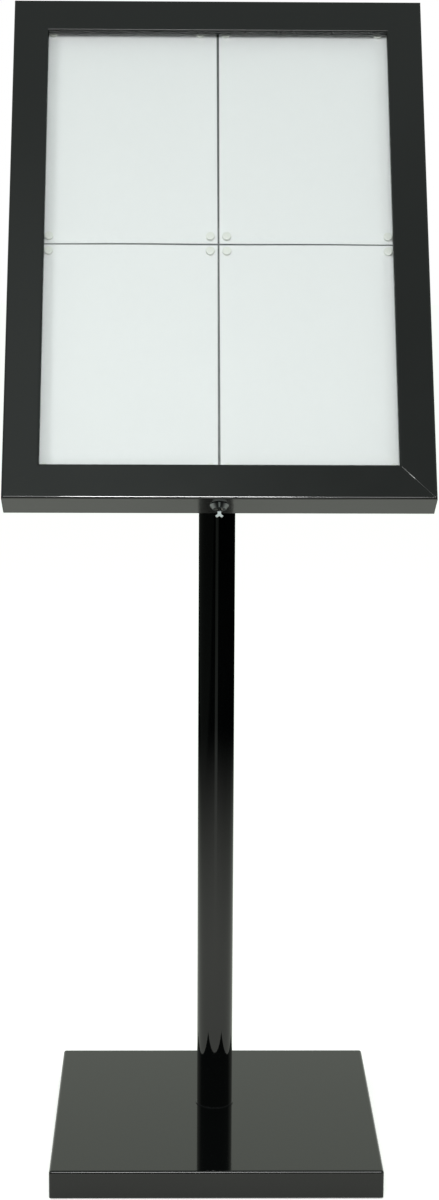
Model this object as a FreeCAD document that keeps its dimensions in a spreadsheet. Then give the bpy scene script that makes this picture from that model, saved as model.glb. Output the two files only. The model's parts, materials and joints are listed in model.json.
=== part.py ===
"""Lockable menu display stand: a tilted steel case for four A4 sheets on a post and a square base.

Millimetres. The origin is on the floor under the middle of the base, +Z up, +Y to the back. The case is
modelled upright, with its front at Y = 0 and its lower edge at Z = 0, and then leans back on the post.
"""
import FreeCAD, Part
import os
import re
import Sketcher

# Driving dimensions: name, value in millimetres or degrees, what it measures
SIZES = [
    ("head_deep", 45.0, "case from its front to its back"),
    ("head_tilt", 31.0, "degrees that the case leans back"),
    ("seat_up", 313.0, "post axis on the case's back, above the lower edge"),
    ("post_top", 1089.0, "height at which the post axis meets the case's back"),
    ("side_margin", 38.2, "sheet to the door's outer face, left and right"),
    ("low_margin", 35.8, "sheet to the door's lower face"),
    ("high_margin", 28.6, "sheet to the door's upper face"),
    ("rail_wide", 42.5, "door rail across its face"),
    ("lip_deep", 8.2, "inner return round the window"),
    ("door_steel", 1.2, "door sheet"),
    ("door_bend", 2.2, "outer bend radius of the door sheet"),
    ("mitre_gap", 0.3, "open seam between two rails"),
    ("cut_over", 4.0, "how far a cut runs past what it cuts"),
    ("gusset_in", 13.5, "gusset from the door's outer face"),
    ("gusset_leg", 54.0, "gusset along each rail, from the outer corner"),
    ("gusset_wide", 14.0, "gusset leg across"),
    ("gusset_thick", 1.5, "gusset sheet"),
    ("gasket_room", 0.3, "lock nut to the seal"),
    ("gasket_wide", 7.0, "seal across"),
    ("gasket_gap", 0.3, "seal to the case wall"),
    ("pane_thick", 2.0, "clear window"),
    ("pane_edge", 10.0, "window past the opening, each side"),
    ("pane_gap", 1.0, "window edge to its retainer"),
    ("clip_cover", 5.0, "retainer over the window's edge"),
    ("clip_room", 2.5, "seal to the retainer's foot"),
    ("clip_trim", 66.0, "retainer end from the door's corner"),
    ("clip_steel", 1.2, "retainer sheet"),
    ("stud_dia", 4.0, "weld stud"),
    ("stud_long", 7.0, "weld stud"),
    ("stud_side", 190.0, "studs above and below the middle of a side"),
    ("stud_across", 110.0, "studs beside the middle of the top and bottom"),
    ("nut_flats", 7.0, "stud nut across flats"),
    ("nut_thick", 3.2, "stud nut"),
    ("screw_fit", 0.1, "radial room of a screw or stud in its hole"),
    ("case_gap", 6.0, "door skirt to the case wall"),
    ("case_steel", 1.2, "case wall sheet"),
    ("case_bend", 2.2, "outer bend radius of the case wall"),
    ("case_flange", 12.0, "weld flange of the case wall"),
    ("wall_front", 12.5, "front edge of the case wall, behind the door's face"),
    ("back_gap", 3.0, "door skirt to the back panel"),
    ("back_steel", 1.5, "back panel sheet"),
    ("back_corner", 5.0, "corner radius of the back panel"),
    ("paper_wide", 210.0, "sheet across"),
    ("paper_tall", 297.0, "sheet upright"),
    ("paper_thick", 0.3, "sheet"),
    ("paper_gap", 1.6, "between two sheets"),
    ("panel_margin", 11.0, "magnetic panel beside the sheets"),
    ("panel_edge", 5.0, "magnetic panel above and below the sheets"),
    ("panel_steel", 1.0, "magnetic panel"),
    ("boss_dia", 8.0, "boss under the magnetic panel"),
    ("boss_inset", 47.8, "boss from the sheets' outer end"),
    ("boss_screw", 4.0, "screw into a boss"),
    ("boss_screw_long", 10.0, "screw under its head"),
    ("boss_head_dia", 8.0, "screw head"),
    ("boss_head_tall", 2.2, "screw head"),
    ("magnet_dia", 10.5, "magnet"),
    ("magnet_thick", 4.0, "magnet"),
    ("magnet_room", 3.8, "window to the magnets"),
    ("magnet_inset", 9.0, "magnet's middle from the sheet's edges"),
    ("magnet_stray", 11.5, "one magnet set further from the middle gap"),
    ("magnet_drift", 5.5, "one magnet set further from the right edge"),
    ("hinge_apart", 320.0, "between the two hinges"),
    ("hinge_long", 60.0, "hinge along its pin"),
    ("hinge_gap", 0.4, "between two knuckles"),
    ("hinge_room", 0.4, "knuckle to what it passes"),
    ("knuckle_dia", 7.0, "hinge knuckle"),
    ("leaf_thick", 1.5, "hinge leaf"),
    ("leaf_wide", 28.0, "door leaf from the pin's axis"),
    ("leaf_end", 8.0, "case leaf past its rivets"),
    ("pin_dia", 4.0, "hinge pin"),
    ("pin_fit", 0.05, "radial room of a pin or plug in its bore"),
    ("rivet_dia", 3.2, "hinge rivet"),
    ("rivet_head", 6.5, "rivet head across"),
    ("rivet_tail", 5.0, "formed end across"),
    ("rivet_tall", 1.5, "rivet head and formed end"),
    ("rivet_room", 1.8, "rivet's formed end to the weld flange"),
    ("rivet_pitch", 40.0, "between two rivets"),
    ("bezel_dia", 22.0, "lock bezel at the door"),
    ("bezel_face", 15.0, "lock bezel at its face"),
    ("bezel_proud", 5.5, "lock bezel"),
    ("bezel_rim", 0.8, "straight rim of the bezel"),
    ("barrel_dia", 14.0, "lock barrel"),
    ("barrel_long", 18.0, "lock barrel inside the door's outer face"),
    ("barrel_room", 0.8, "lock barrel behind the seal"),
    ("lock_nut_wall", 1.5, "lock nut from the barrel to its flats"),
    ("lock_nut_thick", 3.5, "lock nut"),
    ("lock_notch", 1.8, "room round the barrel in the case wall"),
    ("plug_dia", 9.0, "lock plug"),
    ("plug_sunk", 0.6, "plug face inside the bezel's face"),
    ("plug_square", 6.0, "drive for the cam"),
    ("key_slot", 2.2, "keyway across"),
    ("key_thick", 1.9, "key"),
    ("key_blade", 5.6, "key blade"),
    ("key_blade_long", 14.0, "key blade in the plug"),
    ("key_neck", 4.0, "key outside the plug"),
    ("key_neck_long", 6.0, "key outside the bezel's face"),
    ("key_bow", 9.0, "forked end of the key"),
    ("key_bow_tall", 3.5, "forked end of the key"),
    ("key_fork", 1.6, "thickness of the fork's arms"),
    ("cam_thick", 2.0, "cam"),
    ("cam_wide", 10.0, "cam arm"),
    ("cam_hub", 13.0, "cam round its hole"),
    ("cam_room", 4.5, "cam's end to the back panel"),
    ("cam_gap", 0.2, "cam to the barrel's end"),
    ("cam_screw", 4.0, "cam screw"),
    ("cam_screw_long", 7.0, "cam screw under its head"),
    ("cam_head_dia", 8.0, "cam screw head"),
    ("cam_head_tall", 2.4, "cam screw head"),
    ("strike_steel", 1.5, "strike sheet"),
    ("strike_wide", 18.0, "strike along the case"),
    ("strike_tall", 16.0, "strike above the case wall"),
    ("strike_foot", 20.0, "strike foot"),
    ("strike_gap", 0.6, "strike to the cam when locked"),
    ("strike_room", 0.4, "strike behind the wall's front edge"),
    ("mount_wide", 140.0, "plate on the post"),
    ("mount_tall", 156.0, "plate on the post"),
    ("mount_thick", 4.0, "plate on the post"),
    ("mount_corner", 10.0, "corner radius of the plates"),
    ("bolt_across", 100.0, "mount bolts across"),
    ("bolt_up", 112.0, "mount bolts up the slope"),
    ("bolt_dia", 6.0, "mount bolt"),
    ("bolt_fit", 0.3, "radial room of a bolt in its hole"),
    ("bolt_flats", 10.0, "bolt head and nut across flats"),
    ("bolt_head_tall", 4.0, "bolt head"),
    ("bolt_end", 2.0, "bolt past its nut"),
    ("bolt_nut_thick", 5.0, "weld nut"),
    ("washer_dia", 12.5, "washer under a bolt head"),
    ("washer_thick", 1.2, "washer under a bolt head"),
    ("backing_more", 14.0, "backing plate past the mount plate, each side"),
    ("backing_thick", 3.0, "backing plate"),
    ("post_dia", 44.5, "post tube"),
    ("post_wall", 2.0, "post tube"),
    ("post_back", 18.0, "post axis behind the middle of the base"),
    ("ring_edge", 1.5, "washer past the post"),
    ("ring_thick", 1.0, "washer under the post"),
    ("plug_thick", 12.0, "welded plug in the post's foot"),
    ("weld_fit", 0.05, "radial room of a welded plug"),
    ("clamp_dia", 10.0, "post bolt"),
    ("clamp_flats", 16.0, "post bolt head across flats"),
    ("clamp_head_tall", 6.4, "post bolt head"),
    ("clamp_end", 2.0, "post bolt short of the plug's top"),
    ("clamp_washer_dia", 32.0, "washer under the weight plate"),
    ("clamp_washer_thick", 2.5, "washer under the weight plate"),
    ("base_wide", 400.0, "base across"),
    ("base_deep", 400.0, "base front to back"),
    ("base_tall", 34.0, "base cover"),
    ("base_steel", 2.0, "base cover sheet"),
    ("base_bend", 3.5, "outer bend radius of the base cover"),
    ("foot_drop", 2.0, "base cover above the floor"),
    ("weight_gap", 12.0, "weight plate from the cover's outer face"),
    ("weight_thick", 10.0, "weight plate"),
    ("foot_dia", 30.0, "rubber foot"),
    ("foot_inset", 44.0, "foot's middle from the cover's outer faces"),
    ("foot_screw", 6.0, "foot screw"),
    ("foot_screw_grip", 8.0, "foot screw in the weight plate"),
    ("foot_bond", 12.0, "foot screw moulded into the rubber"),
]

TOUCH = 0.001
SIZE_NAME = re.compile(r"[a-z]+(?:_[a-z]+)+")
OUTWARD = {"XY_Plane": 1, "XZ_Plane": -1, "YZ_Plane": 1}

# The case is as large as four sheets with their margins
PAPER_SIDE = "(paper_gap / 2 + paper_wide)"
PAPER_END = "(paper_gap / 2 + paper_tall)"
PAPER_MIDDLE = f"(low_margin + {PAPER_END})"
PAPER_FACE = "(lip_deep + pane_thick + magnet_room + magnet_thick)"
HALF_HEAD = f"({PAPER_SIDE} + side_margin)"
HEAD_TALL = f"(2 * {PAPER_END} + low_margin + high_margin)"

# The lock stands behind the strike with its cam, and behind the seal with its barrel
GASKET_IN = "(door_steel + lock_nut_thick + gasket_room)"
GASKET_BACK = "(wall_front - gasket_gap)"
CAM_NEEDS = "wall_front + strike_room + strike_steel + strike_gap + cam_wide / 2"
BARREL_NEEDS = f"{GASKET_BACK} + barrel_room + barrel_dia / 2"
LOCK_BACK = f"max({CAM_NEEDS}; {BARREL_NEEDS})"

# Where the case's lower front edge stands, from where the post meets its back
HEAD_Y = "post_back - head_deep * cos(head_tilt) - seat_up * sin(head_tilt)"
HEAD_Z = "post_top + head_deep * sin(head_tilt) - seat_up * cos(head_tilt)"

doc = FreeCAD.newDocument("MenuStand")
sheet = doc.addObject("Spreadsheet::Sheet", "Sizes")
for row, (name, value, note) in enumerate(SIZES, 1):
    sheet.set(f"A{row}", name)
    sheet.set(f"B{row}", str(value))
    sheet.setAlias(f"B{row}", name)
    sheet.set(f"C{row}", note)
doc.recompute()
pieces = []


def bound(text):
    """The formula with each size name pointing at its cell."""
    return SIZE_NAME.sub(lambda word: "Sizes." + word.group(), text)


def number(text):
    """The formula's present value."""
    return float(sheet.evalExpression(bound(text)))


def piece(name, on_head=True):
    """A new sub-part, in the case's leaning frame or in the stand's own."""
    body = doc.addObject("PartDesign::Body", name)
    body.Label = name
    if on_head:
        body.Placement.Rotation = FreeCAD.Rotation(FreeCAD.Vector(1, 0, 0), -number("head_tilt"))
        body.setExpression("Placement.Base.y", bound(HEAD_Y))
        body.setExpression("Placement.Base.z", bound(HEAD_Z))
        body.setExpression("Placement.Rotation.Angle", bound("-head_tilt"))
    pieces.append(body)
    return body


def sketch(body, plane, offset):
    """An empty sketch square to one axis, at the given place on it."""
    drawing = body.newObject("Sketcher::SketchObject", body.Label + "_sketch")
    support = [feature for feature in body.Origin.OriginFeatures if feature.Role == plane]
    drawing.AttachmentSupport = [(support[0], "")]
    drawing.MapMode = "FlatFace"
    drawing.setExpression("AttachmentOffset.Base.z", bound(f"{OUTWARD[plane]} * ({offset})"))
    return drawing


def pin_point(drawing, item, corner, place):
    """Ties one point of a sketch to two formulas."""
    for kind, formula in zip(("DistanceX", "DistanceY"), place):
        rule = Sketcher.Constraint(kind, -1, 1, item, corner, number(formula))
        drawing.setExpression(f"Constraints[{drawing.addConstraint(rule)}]", bound(formula))


def draw_loop(drawing, corners):
    """A closed outline with straight sides."""
    places = [FreeCAD.Vector(number(x), number(y), 0) for x, y in corners]
    ends = places[1:] + places[:1]
    lines = [drawing.addGeometry(Part.LineSegment(a, b), False) for a, b in zip(places, ends)]
    for line, after in zip(lines, lines[1:] + lines[:1]):
        drawing.addConstraint(Sketcher.Constraint("Coincident", line, 2, after, 1))
    for line, corner in zip(lines, corners):
        pin_point(drawing, line, 1, corner)


def draw_circle(drawing, middle, diameter):
    """A full circle."""
    place = FreeCAD.Vector(number(middle[0]), number(middle[1]), 0)
    up = FreeCAD.Vector(0, 0, 1)
    circle = drawing.addGeometry(Part.Circle(place, up, number(diameter) / 2), False)
    pin_point(drawing, circle, 3, middle)
    rule = Sketcher.Constraint("Diameter", circle, number(diameter))
    drawing.setExpression(f"Constraints[{drawing.addConstraint(rule)}]", bound(diameter))


def grow(body, plane, start, length, loops=(), circles=()):
    """Pads outlines from start along the axis square to the plane."""
    drawing = sketch(body, plane, start)
    for corners in loops:
        draw_loop(drawing, corners)
    for middle, diameter in circles:
        draw_circle(drawing, middle, diameter)
    pad = body.newObject("PartDesign::Pad", body.Label + "_pad")
    pad.Profile = drawing
    pad.setExpression("Length", bound(length))
    pad.Reversed = OUTWARD[plane] < 0
    doc.recompute()


def cut(body, plane, start, length, loops=(), circles=()):
    """Pockets outlines from start along the axis square to the plane."""
    before = body.Shape.Volume
    drawing = sketch(body, plane, start)
    for corners in loops:
        draw_loop(drawing, corners)
    for middle, diameter in circles:
        draw_circle(drawing, middle, diameter)
    pocket = body.newObject("PartDesign::Pocket", body.Label + "_pocket")
    pocket.Profile = drawing
    pocket.setExpression("Length", bound(length))
    pocket.Reversed = OUTWARD[plane] > 0
    doc.recompute()
    if body.Shape.Volume > before - TOUCH:
        raise RuntimeError(f"{body.Label}: a cut removed nothing")


def turn(body, depth, corners):
    """Revolves an outline of (radius, height) about the upright line at X = 0 and the given depth."""
    drawing = sketch(body, "XZ_Plane", depth)
    draw_loop(drawing, corners)
    spin = body.newObject("PartDesign::Revolution", body.Label + "_turn")
    spin.Profile = drawing
    spin.ReferenceAxis = (drawing, ["V_Axis"])
    spin.Angle = 360
    doc.recompute()


def lies_at(edge, place):
    """True for an edge that lies wholly at the given coordinates."""
    box = edge.BoundBox
    gaps = [abs(getattr(box, axis + end) - number(at))
            for axis, at in place.items() for end in ("Min", "Max")]
    return max(gaps) < TOUCH


def dress_edges(body, feature, setting, amount, places):
    """Puts a fillet or a chamfer on every edge that lies at one of the given places."""
    base = body.Tip
    edges = enumerate(base.Shape.Edges, 1)
    chosen = [f"Edge{n}" for n, edge in edges if any(lies_at(edge, place) for place in places)]
    dressing = body.newObject(feature, body.Label + "_edge")
    dressing.Base = (base, chosen)
    dressing.setExpression(setting, bound(amount))
    doc.recompute()


def round_edges(body, radius, *places):
    """Fillets the edges at the given places."""
    dress_edges(body, "PartDesign::Fillet", "Radius", radius, places)


def bevel_edges(body, size, *places):
    """Chamfers the edges at the given places."""
    dress_edges(body, "PartDesign::Chamfer", "Size", size, places)


def box_loop(left, low, right, high):
    """Corners of a rectangle."""
    return [(left, low), (right, low), (right, high), (left, high)]


def ring_loop(inset):
    """A rectangle that lies inside the case's outline by the same amount all round."""
    side = f"{HALF_HEAD} - ({inset})"
    return box_loop(f"-({side})", inset, side, f"{HEAD_TALL} - ({inset})")


def plate_loop(wide, tall, up):
    """A rectangle on the case's middle line, its centre at the given height."""
    return box_loop(f"-({wide}) / 2", f"{up} - ({tall}) / 2", f"({wide}) / 2", f"{up} + ({tall}) / 2")


def hex_loop(middle, flats):
    """A hexagon with two corners up and down."""
    x, y = middle
    half = f"({flats}) / 2"
    tip = f"({flats}) / sqrt(3)"
    return [
        (x, f"{y} + {tip}"),
        (f"{x} - {half}", f"{y} + {tip} / 2"),
        (f"{x} - {half}", f"{y} - {tip} / 2"),
        (x, f"{y} - {tip}"),
        (f"{x} + {half}", f"{y} - {tip} / 2"),
        (f"{x} + {half}", f"{y} + {tip} / 2"),
    ]


SIDES = {
    "top": ("YZ_Plane", lambda inward, back: (back, f"{HEAD_TALL} - ({inward})")),
    "bottom": ("YZ_Plane", lambda inward, back: (back, inward)),
    "left": ("XY_Plane", lambda inward, back: (f"{inward} - {HALF_HEAD}", back)),
    "right": ("XY_Plane", lambda inward, back: (f"{HALF_HEAD} - ({inward})", back)),
}


def grow_side(body, side, profile, trim):
    """Pads a profile of (inward, back) along one side of the case, short of its corners by trim."""
    plane, place = SIDES[side]
    loop = [place(inward, back) for inward, back in profile]
    if plane == "YZ_Plane":
        grow(body, plane, f"({trim}) - {HALF_HEAD}", f"2 * ({HALF_HEAD} - ({trim}))", loops=[loop])
    else:
        grow(body, plane, trim, f"{HEAD_TALL} - 2 * ({trim})", loops=[loop])


def fold_line(side, corner):
    """Where the fold at one corner of a side's profile lies."""
    plane, place = SIDES[side]
    axes = ("Y", "Z") if plane == "YZ_Plane" else ("X", "Y")
    return dict(zip(axes, place(*corner)))


def corner_loop(hand, upper, corners):
    """An outline given as (in from the side, in from the end), at one corner of the case."""
    places = []
    for aside, along in corners:
        height = f"{HEAD_TALL} - ({along})" if upper else along
        places.append((f"{hand} * ({HALF_HEAD} - ({aside}))", height))
    return places


def mitre(side):
    """The two wedges that leave one rail with mitred ends."""
    seam = "mitre_gap / sqrt(2)"
    far = "rail_wide + cut_over"
    wedge = [(f"{seam} - cut_over", "-cut_over"), (f"{far} + {seam}", far),
             ("-2 * cut_over", far), ("-2 * cut_over", "-cut_over")]
    if side in ("top", "bottom"):
        return [corner_loop(hand, side == "top", wedge) for hand in (-1, 1)]
    swapped = [(along, aside) for aside, along in wedge]
    hand = -1 if side == "left" else 1
    return [corner_loop(hand, upper, swapped) for upper in (False, True)]


# Door rails: a face, a skirt round the case and a return round the window, folded from one sheet
def door_rail(side):
    profile = [
        ("0", "0"),
        ("rail_wide", "0"),
        ("rail_wide", "lip_deep"),
        ("rail_wide - door_steel", "lip_deep"),
        ("rail_wide - door_steel", "door_steel"),
        ("door_steel", "door_steel"),
        ("door_steel", "head_deep"),
        ("0", "head_deep"),
    ]
    rail = piece(f"door_{side}_rail")
    grow_side(rail, side, profile, "0")
    cut(rail, "XZ_Plane", "-cut_over", "head_deep + 2 * cut_over", loops=mitre(side))
    round_edges(rail, "door_bend", *[fold_line(side, profile[n]) for n in (0, 1)])
    round_edges(rail, "door_bend - door_steel", *[fold_line(side, profile[n]) for n in (4, 5)])
    return rail


rails = {side: door_rail(side) for side in SIDES}
cut(rails["bottom"], "XY_Plane", "-cut_over", "door_steel + 2 * cut_over",
    circles=[(("0", LOCK_BACK), "barrel_dia + 2 * screw_fit")])

# Gussets welded behind the mitres
GUSSET = [
    ("gusset_in", "gusset_in"),
    ("gusset_leg", "gusset_in"),
    ("gusset_leg", "gusset_in + gusset_wide"),
    ("gusset_in + gusset_wide", "gusset_in + gusset_wide"),
    ("gusset_in + gusset_wide", "gusset_leg"),
    ("gusset_in", "gusset_leg"),
]
gussets = piece("door_corner_gussets")
grow(gussets, "XZ_Plane", "door_steel", "gusset_thick",
     loops=[corner_loop(hand, upper, GUSSET) for hand in (-1, 1) for upper in (False, True)])

# Seal between the door's face and the case wall
gasket = piece("door_gasket")
grow(gasket, "XZ_Plane", "door_steel", f"{GASKET_BACK} - door_steel",
     loops=[ring_loop(GASKET_IN), ring_loop(f"{GASKET_IN} + gasket_wide")])

# Window, its four retainers and the studs and nuts that hold them
pane = piece("window_pane")
grow(pane, "XZ_Plane", "lip_deep", "pane_thick", loops=[ring_loop("rail_wide - pane_edge")])

CLIP_WEB = "rail_wide - pane_edge - pane_gap"
CLIP_START = f"{GASKET_IN} + gasket_wide + clip_room"
CLIP_BACK = "lip_deep + pane_thick"
CLIP = [
    (CLIP_START, "door_steel"),
    (CLIP_WEB, "door_steel"),
    (CLIP_WEB, CLIP_BACK),
    ("rail_wide - pane_edge + clip_cover", CLIP_BACK),
    ("rail_wide - pane_edge + clip_cover", f"{CLIP_BACK} + clip_steel"),
    (f"{CLIP_WEB} - clip_steel", f"{CLIP_BACK} + clip_steel"),
    (f"{CLIP_WEB} - clip_steel", "door_steel + clip_steel"),
    (CLIP_START, "door_steel + clip_steel"),
]
STUD_IN = f"({CLIP_START} + {CLIP_WEB} - clip_steel) / 2"
STUD_SIDE = f"{HALF_HEAD} - ({STUD_IN})"
STUDS = {
    "top": [(f"{k} * stud_across", f"{HEAD_TALL} - ({STUD_IN})") for k in (-1, 1)],
    "bottom": [(f"{k} * stud_across", STUD_IN) for k in (-1, 1)],
    "left": [(f"-({STUD_SIDE})", f"{HEAD_TALL} / 2 + {k} * stud_side") for k in (-1, 1)],
    "right": [(STUD_SIDE, f"{HEAD_TALL} / 2 + {k} * stud_side") for k in (-1, 1)],
}
for side in SIDES:
    clip = piece(f"pane_retainer_{side}")
    grow_side(clip, side, CLIP, "clip_trim")
    cut(clip, "XZ_Plane", "door_steel - cut_over", "clip_steel + 2 * cut_over",
        circles=[(place, "stud_dia + 2 * screw_fit") for place in STUDS[side]])

stud_places = [place for places in STUDS.values() for place in places]
studs = piece("pane_retainer_studs")
grow(studs, "XZ_Plane", "door_steel", "stud_long", circles=[(place, "stud_dia") for place in stud_places])
nuts = piece("pane_retainer_nuts")
grow(nuts, "XZ_Plane", "door_steel + clip_steel", "nut_thick",
     loops=[hex_loop(place, "nut_flats") for place in stud_places],
     circles=[(place, "stud_dia + 2 * screw_fit") for place in stud_places])

# Back panel, with holes for the mount bolts and the hinge rivets
HINGES = {"left": "-hinge_apart / 2", "right": "hinge_apart / 2"}
PIN_Y = "head_deep + hinge_room + knuckle_dia / 2"
PIN_Z = f"{HEAD_TALL} - door_steel - knuckle_dia / 2"
BACK_FACE = "head_deep - back_steel"
WALL_IN = "door_steel + case_gap"
FLANGE_IN = f"{WALL_IN} + case_steel + case_flange"
RIVET_Z = f"{HEAD_TALL} - ({FLANGE_IN} + rivet_room + rivet_tail / 2)"
RIVETS = {side: [(f"{middle} + {k} * rivet_pitch / 2", RIVET_Z) for k in (-1, 1)]
          for side, middle in HINGES.items()}
rivet_places = RIVETS["left"] + RIVETS["right"]
BOLTS = [(f"{x} * bolt_across / 2", f"seat_up + {z} * bolt_up / 2") for x in (-1, 1) for z in (-1, 1)]
BACK_IN = "door_steel + back_gap"
back_panel = piece("back_panel")
grow(back_panel, "XZ_Plane", BACK_FACE, "back_steel", loops=[ring_loop(BACK_IN)])
cut(back_panel, "XZ_Plane", f"{BACK_FACE} - cut_over", "back_steel + 2 * cut_over",
    circles=[(place, "bolt_dia + 2 * bolt_fit") for place in BOLTS]
    + [(place, "rivet_dia + 2 * screw_fit") for place in rivet_places])
round_edges(back_panel, "back_corner",
            *[{"X": x, "Z": z} for x, z in ring_loop(BACK_IN)])

# Case wall: five lengths of folded angle welded on the back panel, with a gap for the lock below
NOTCH = "(barrel_dia / 2 + lock_notch)"
WALL = [
    (WALL_IN, "wall_front"),
    (f"{WALL_IN} + case_steel", "wall_front"),
    (f"{WALL_IN} + case_steel", f"{BACK_FACE} - case_steel"),
    (FLANGE_IN, f"{BACK_FACE} - case_steel"),
    (FLANGE_IN, BACK_FACE),
    (WALL_IN, BACK_FACE),
]
WALL_RUNS = {
    "top": ("top", f"-{HALF_HEAD}", f"2 * {HALF_HEAD}"),
    "left": ("left", "0", HEAD_TALL),
    "right": ("right", "0", HEAD_TALL),
    "lower_left": ("bottom", f"-{HALF_HEAD}", f"{HALF_HEAD} - {NOTCH}"),
    "lower_right": ("bottom", NOTCH, f"{HALF_HEAD} - {NOTCH}"),
}
for name, (side, start, length) in WALL_RUNS.items():
    wall = piece(f"case_wall_{name}")
    plane, place = SIDES[side]
    grow(wall, plane, start, length, loops=[[place(*corner) for corner in WALL]])
    cut(wall, "XZ_Plane", "wall_front - cut_over", f"{BACK_FACE} - wall_front + 2 * cut_over",
        loops=mitre(side))
    round_edges(wall, "case_bend", fold_line(side, WALL[5]))
    round_edges(wall, "case_bend - case_steel", fold_line(side, WALL[2]))

# Magnetic panel on its bosses
PANEL_FACE = f"{PAPER_FACE} + paper_thick"
PANEL_BACK = f"{PANEL_FACE} + panel_steel"
SCREW_SIDE = f"{PAPER_SIDE} + panel_margin / 2"
BOSSES = [(f"{hand} * ({SCREW_SIDE})", f"{PAPER_MIDDLE} + {k} * ({PAPER_END} - boss_inset)")
          for hand in (-1, 1) for k in (-1, 1)]
panel = piece("magnetic_panel")
grow(panel, "XZ_Plane", PANEL_FACE, "panel_steel",
     loops=[plate_loop(f"2 * ({PAPER_SIDE} + panel_margin)", f"2 * ({PAPER_END} + panel_edge)",
                       PAPER_MIDDLE)])
cut(panel, "XZ_Plane", f"{PANEL_FACE} - cut_over", "panel_steel + 2 * cut_over",
    circles=[(place, "boss_screw + 2 * screw_fit") for place in BOSSES])
bosses = piece("panel_bosses")
grow(bosses, "XZ_Plane", PANEL_BACK, f"{BACK_FACE} - ({PANEL_BACK})",
     circles=[(place, "boss_dia") for place in BOSSES]
     + [(place, "boss_screw + 2 * screw_fit") for place in BOSSES])
screws = piece("panel_screws")
grow(screws, "XZ_Plane", f"{PANEL_FACE} - boss_head_tall", "boss_head_tall",
     circles=[(place, "boss_head_dia") for place in BOSSES])
grow(screws, "XZ_Plane", PANEL_FACE, "boss_screw_long", circles=[(place, "boss_screw") for place in BOSSES])

# Sheets and the magnets at their corners, two of them set less neatly by hand
MAGNET_SHIFTS = {
    ("upper", "left", "near", "outer"): "magnet_stray",
    ("upper", "right", "far", "outer"): "magnet_drift",
}
MAGNETS = []
for row, rise in (("upper", 1), ("lower", -1)):
    for column, hand in (("left", -1), ("right", 1)):
        near = f"{hand} * paper_gap / 2"
        far = f"{hand} * {PAPER_SIDE}"
        inner = f"{PAPER_MIDDLE} + {rise} * paper_gap / 2"
        outer = f"{PAPER_MIDDLE} + {rise} * {PAPER_END}"
        paper = piece(f"sheet_{row}_{column}")
        grow(paper, "XZ_Plane", PAPER_FACE, "paper_thick", loops=[box_loop(near, inner, far, outer)])
        for edge, x, step_x in (("near", near, hand), ("far", far, -hand)):
            for end, z, step_z in (("inner", inner, rise), ("outer", outer, -rise)):
                shift = MAGNET_SHIFTS.get((row, column, edge, end), "0")
                across = f"{x} + {step_x} * (magnet_inset + {shift})"
                MAGNETS.append((across, f"{z} + {step_z} * magnet_inset"))
magnets = piece("sheet_magnets")
grow(magnets, "XZ_Plane", f"{PAPER_FACE} - magnet_thick", "magnet_thick",
     circles=[(place, "magnet_dia") for place in MAGNETS])

# Hinges: the case leaf has the outer knuckles, the door leaf the middle one
LEAF_LOW = f"{HEAD_TALL} - door_steel - leaf_thick"
CLEAR = "knuckle_dia / 2 + hinge_room"
for side, middle in HINGES.items():
    start = f"{middle} - hinge_long / 2"
    end = f"{middle} + hinge_long / 2"
    inner_start = f"{middle} - hinge_long / 6"
    inner_end = f"{middle} + hinge_long / 6"
    pin_middle = (PIN_Y, PIN_Z)
    outer_long = "hinge_long / 3 - hinge_gap / 2"

    case_leaf = piece(f"{side}_hinge_case_leaf")
    grow(case_leaf, "XZ_Plane", "head_deep", "leaf_thick",
         loops=[box_loop(start, f"{RIVET_Z} - leaf_end", end, PIN_Z)])
    grow(case_leaf, "YZ_Plane", start, outer_long, circles=[(pin_middle, "knuckle_dia")])
    grow(case_leaf, "YZ_Plane", f"{inner_end} + hinge_gap / 2", outer_long,
         circles=[(pin_middle, "knuckle_dia")])
    cut(case_leaf, "XZ_Plane", "head_deep - cut_over", "knuckle_dia + 2 * cut_over",
        loops=[box_loop(f"{inner_start} - hinge_gap / 2", f"{PIN_Z} - ({CLEAR})",
                        f"{inner_end} + hinge_gap / 2", f"{PIN_Z} + knuckle_dia")])
    cut(case_leaf, "YZ_Plane", f"{start} - cut_over", "hinge_long + 2 * cut_over",
        circles=[(pin_middle, "pin_dia + 2 * pin_fit")])
    cut(case_leaf, "XZ_Plane", "head_deep - cut_over", "leaf_thick + 2 * cut_over",
        circles=[(place, "rivet_dia + 2 * screw_fit") for place in RIVETS[side]])

    door_leaf = piece(f"{side}_hinge_door_leaf")
    grow(door_leaf, "XY_Plane", LEAF_LOW, "leaf_thick",
         loops=[box_loop(start, f"{PIN_Y} - leaf_wide", end, f"{PIN_Y} - ({CLEAR})")])
    grow(door_leaf, "XY_Plane", LEAF_LOW, "leaf_thick",
         loops=[box_loop(f"{inner_start} + hinge_gap / 2", f"{PIN_Y} - leaf_wide / 2",
                         f"{inner_end} - hinge_gap / 2", PIN_Y)])
    grow(door_leaf, "YZ_Plane", f"{inner_start} + hinge_gap / 2", "hinge_long / 3 - hinge_gap",
         circles=[(pin_middle, "knuckle_dia")])
    cut(door_leaf, "YZ_Plane", f"{start} - cut_over", "hinge_long + 2 * cut_over",
        circles=[(pin_middle, "pin_dia + 2 * pin_fit")])

    hinge_pin = piece(f"{side}_hinge_pin")
    grow(hinge_pin, "YZ_Plane", start, "hinge_long", circles=[(pin_middle, "pin_dia")])

rivets = piece("hinge_rivets")
grow(rivets, "XZ_Plane", f"{BACK_FACE} - rivet_tall", "rivet_tall",
     circles=[(place, "rivet_tail") for place in rivet_places])
grow(rivets, "XZ_Plane", BACK_FACE, "back_steel + leaf_thick",
     circles=[(place, "rivet_dia") for place in rivet_places])
grow(rivets, "XZ_Plane", "head_deep + leaf_thick", "rivet_tall",
     circles=[(place, "rivet_head") for place in rivet_places])
bevel_edges(rivets, "rivet_tall * 2 / 3", {"Y": "head_deep + leaf_thick + rivet_tall"})

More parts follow.
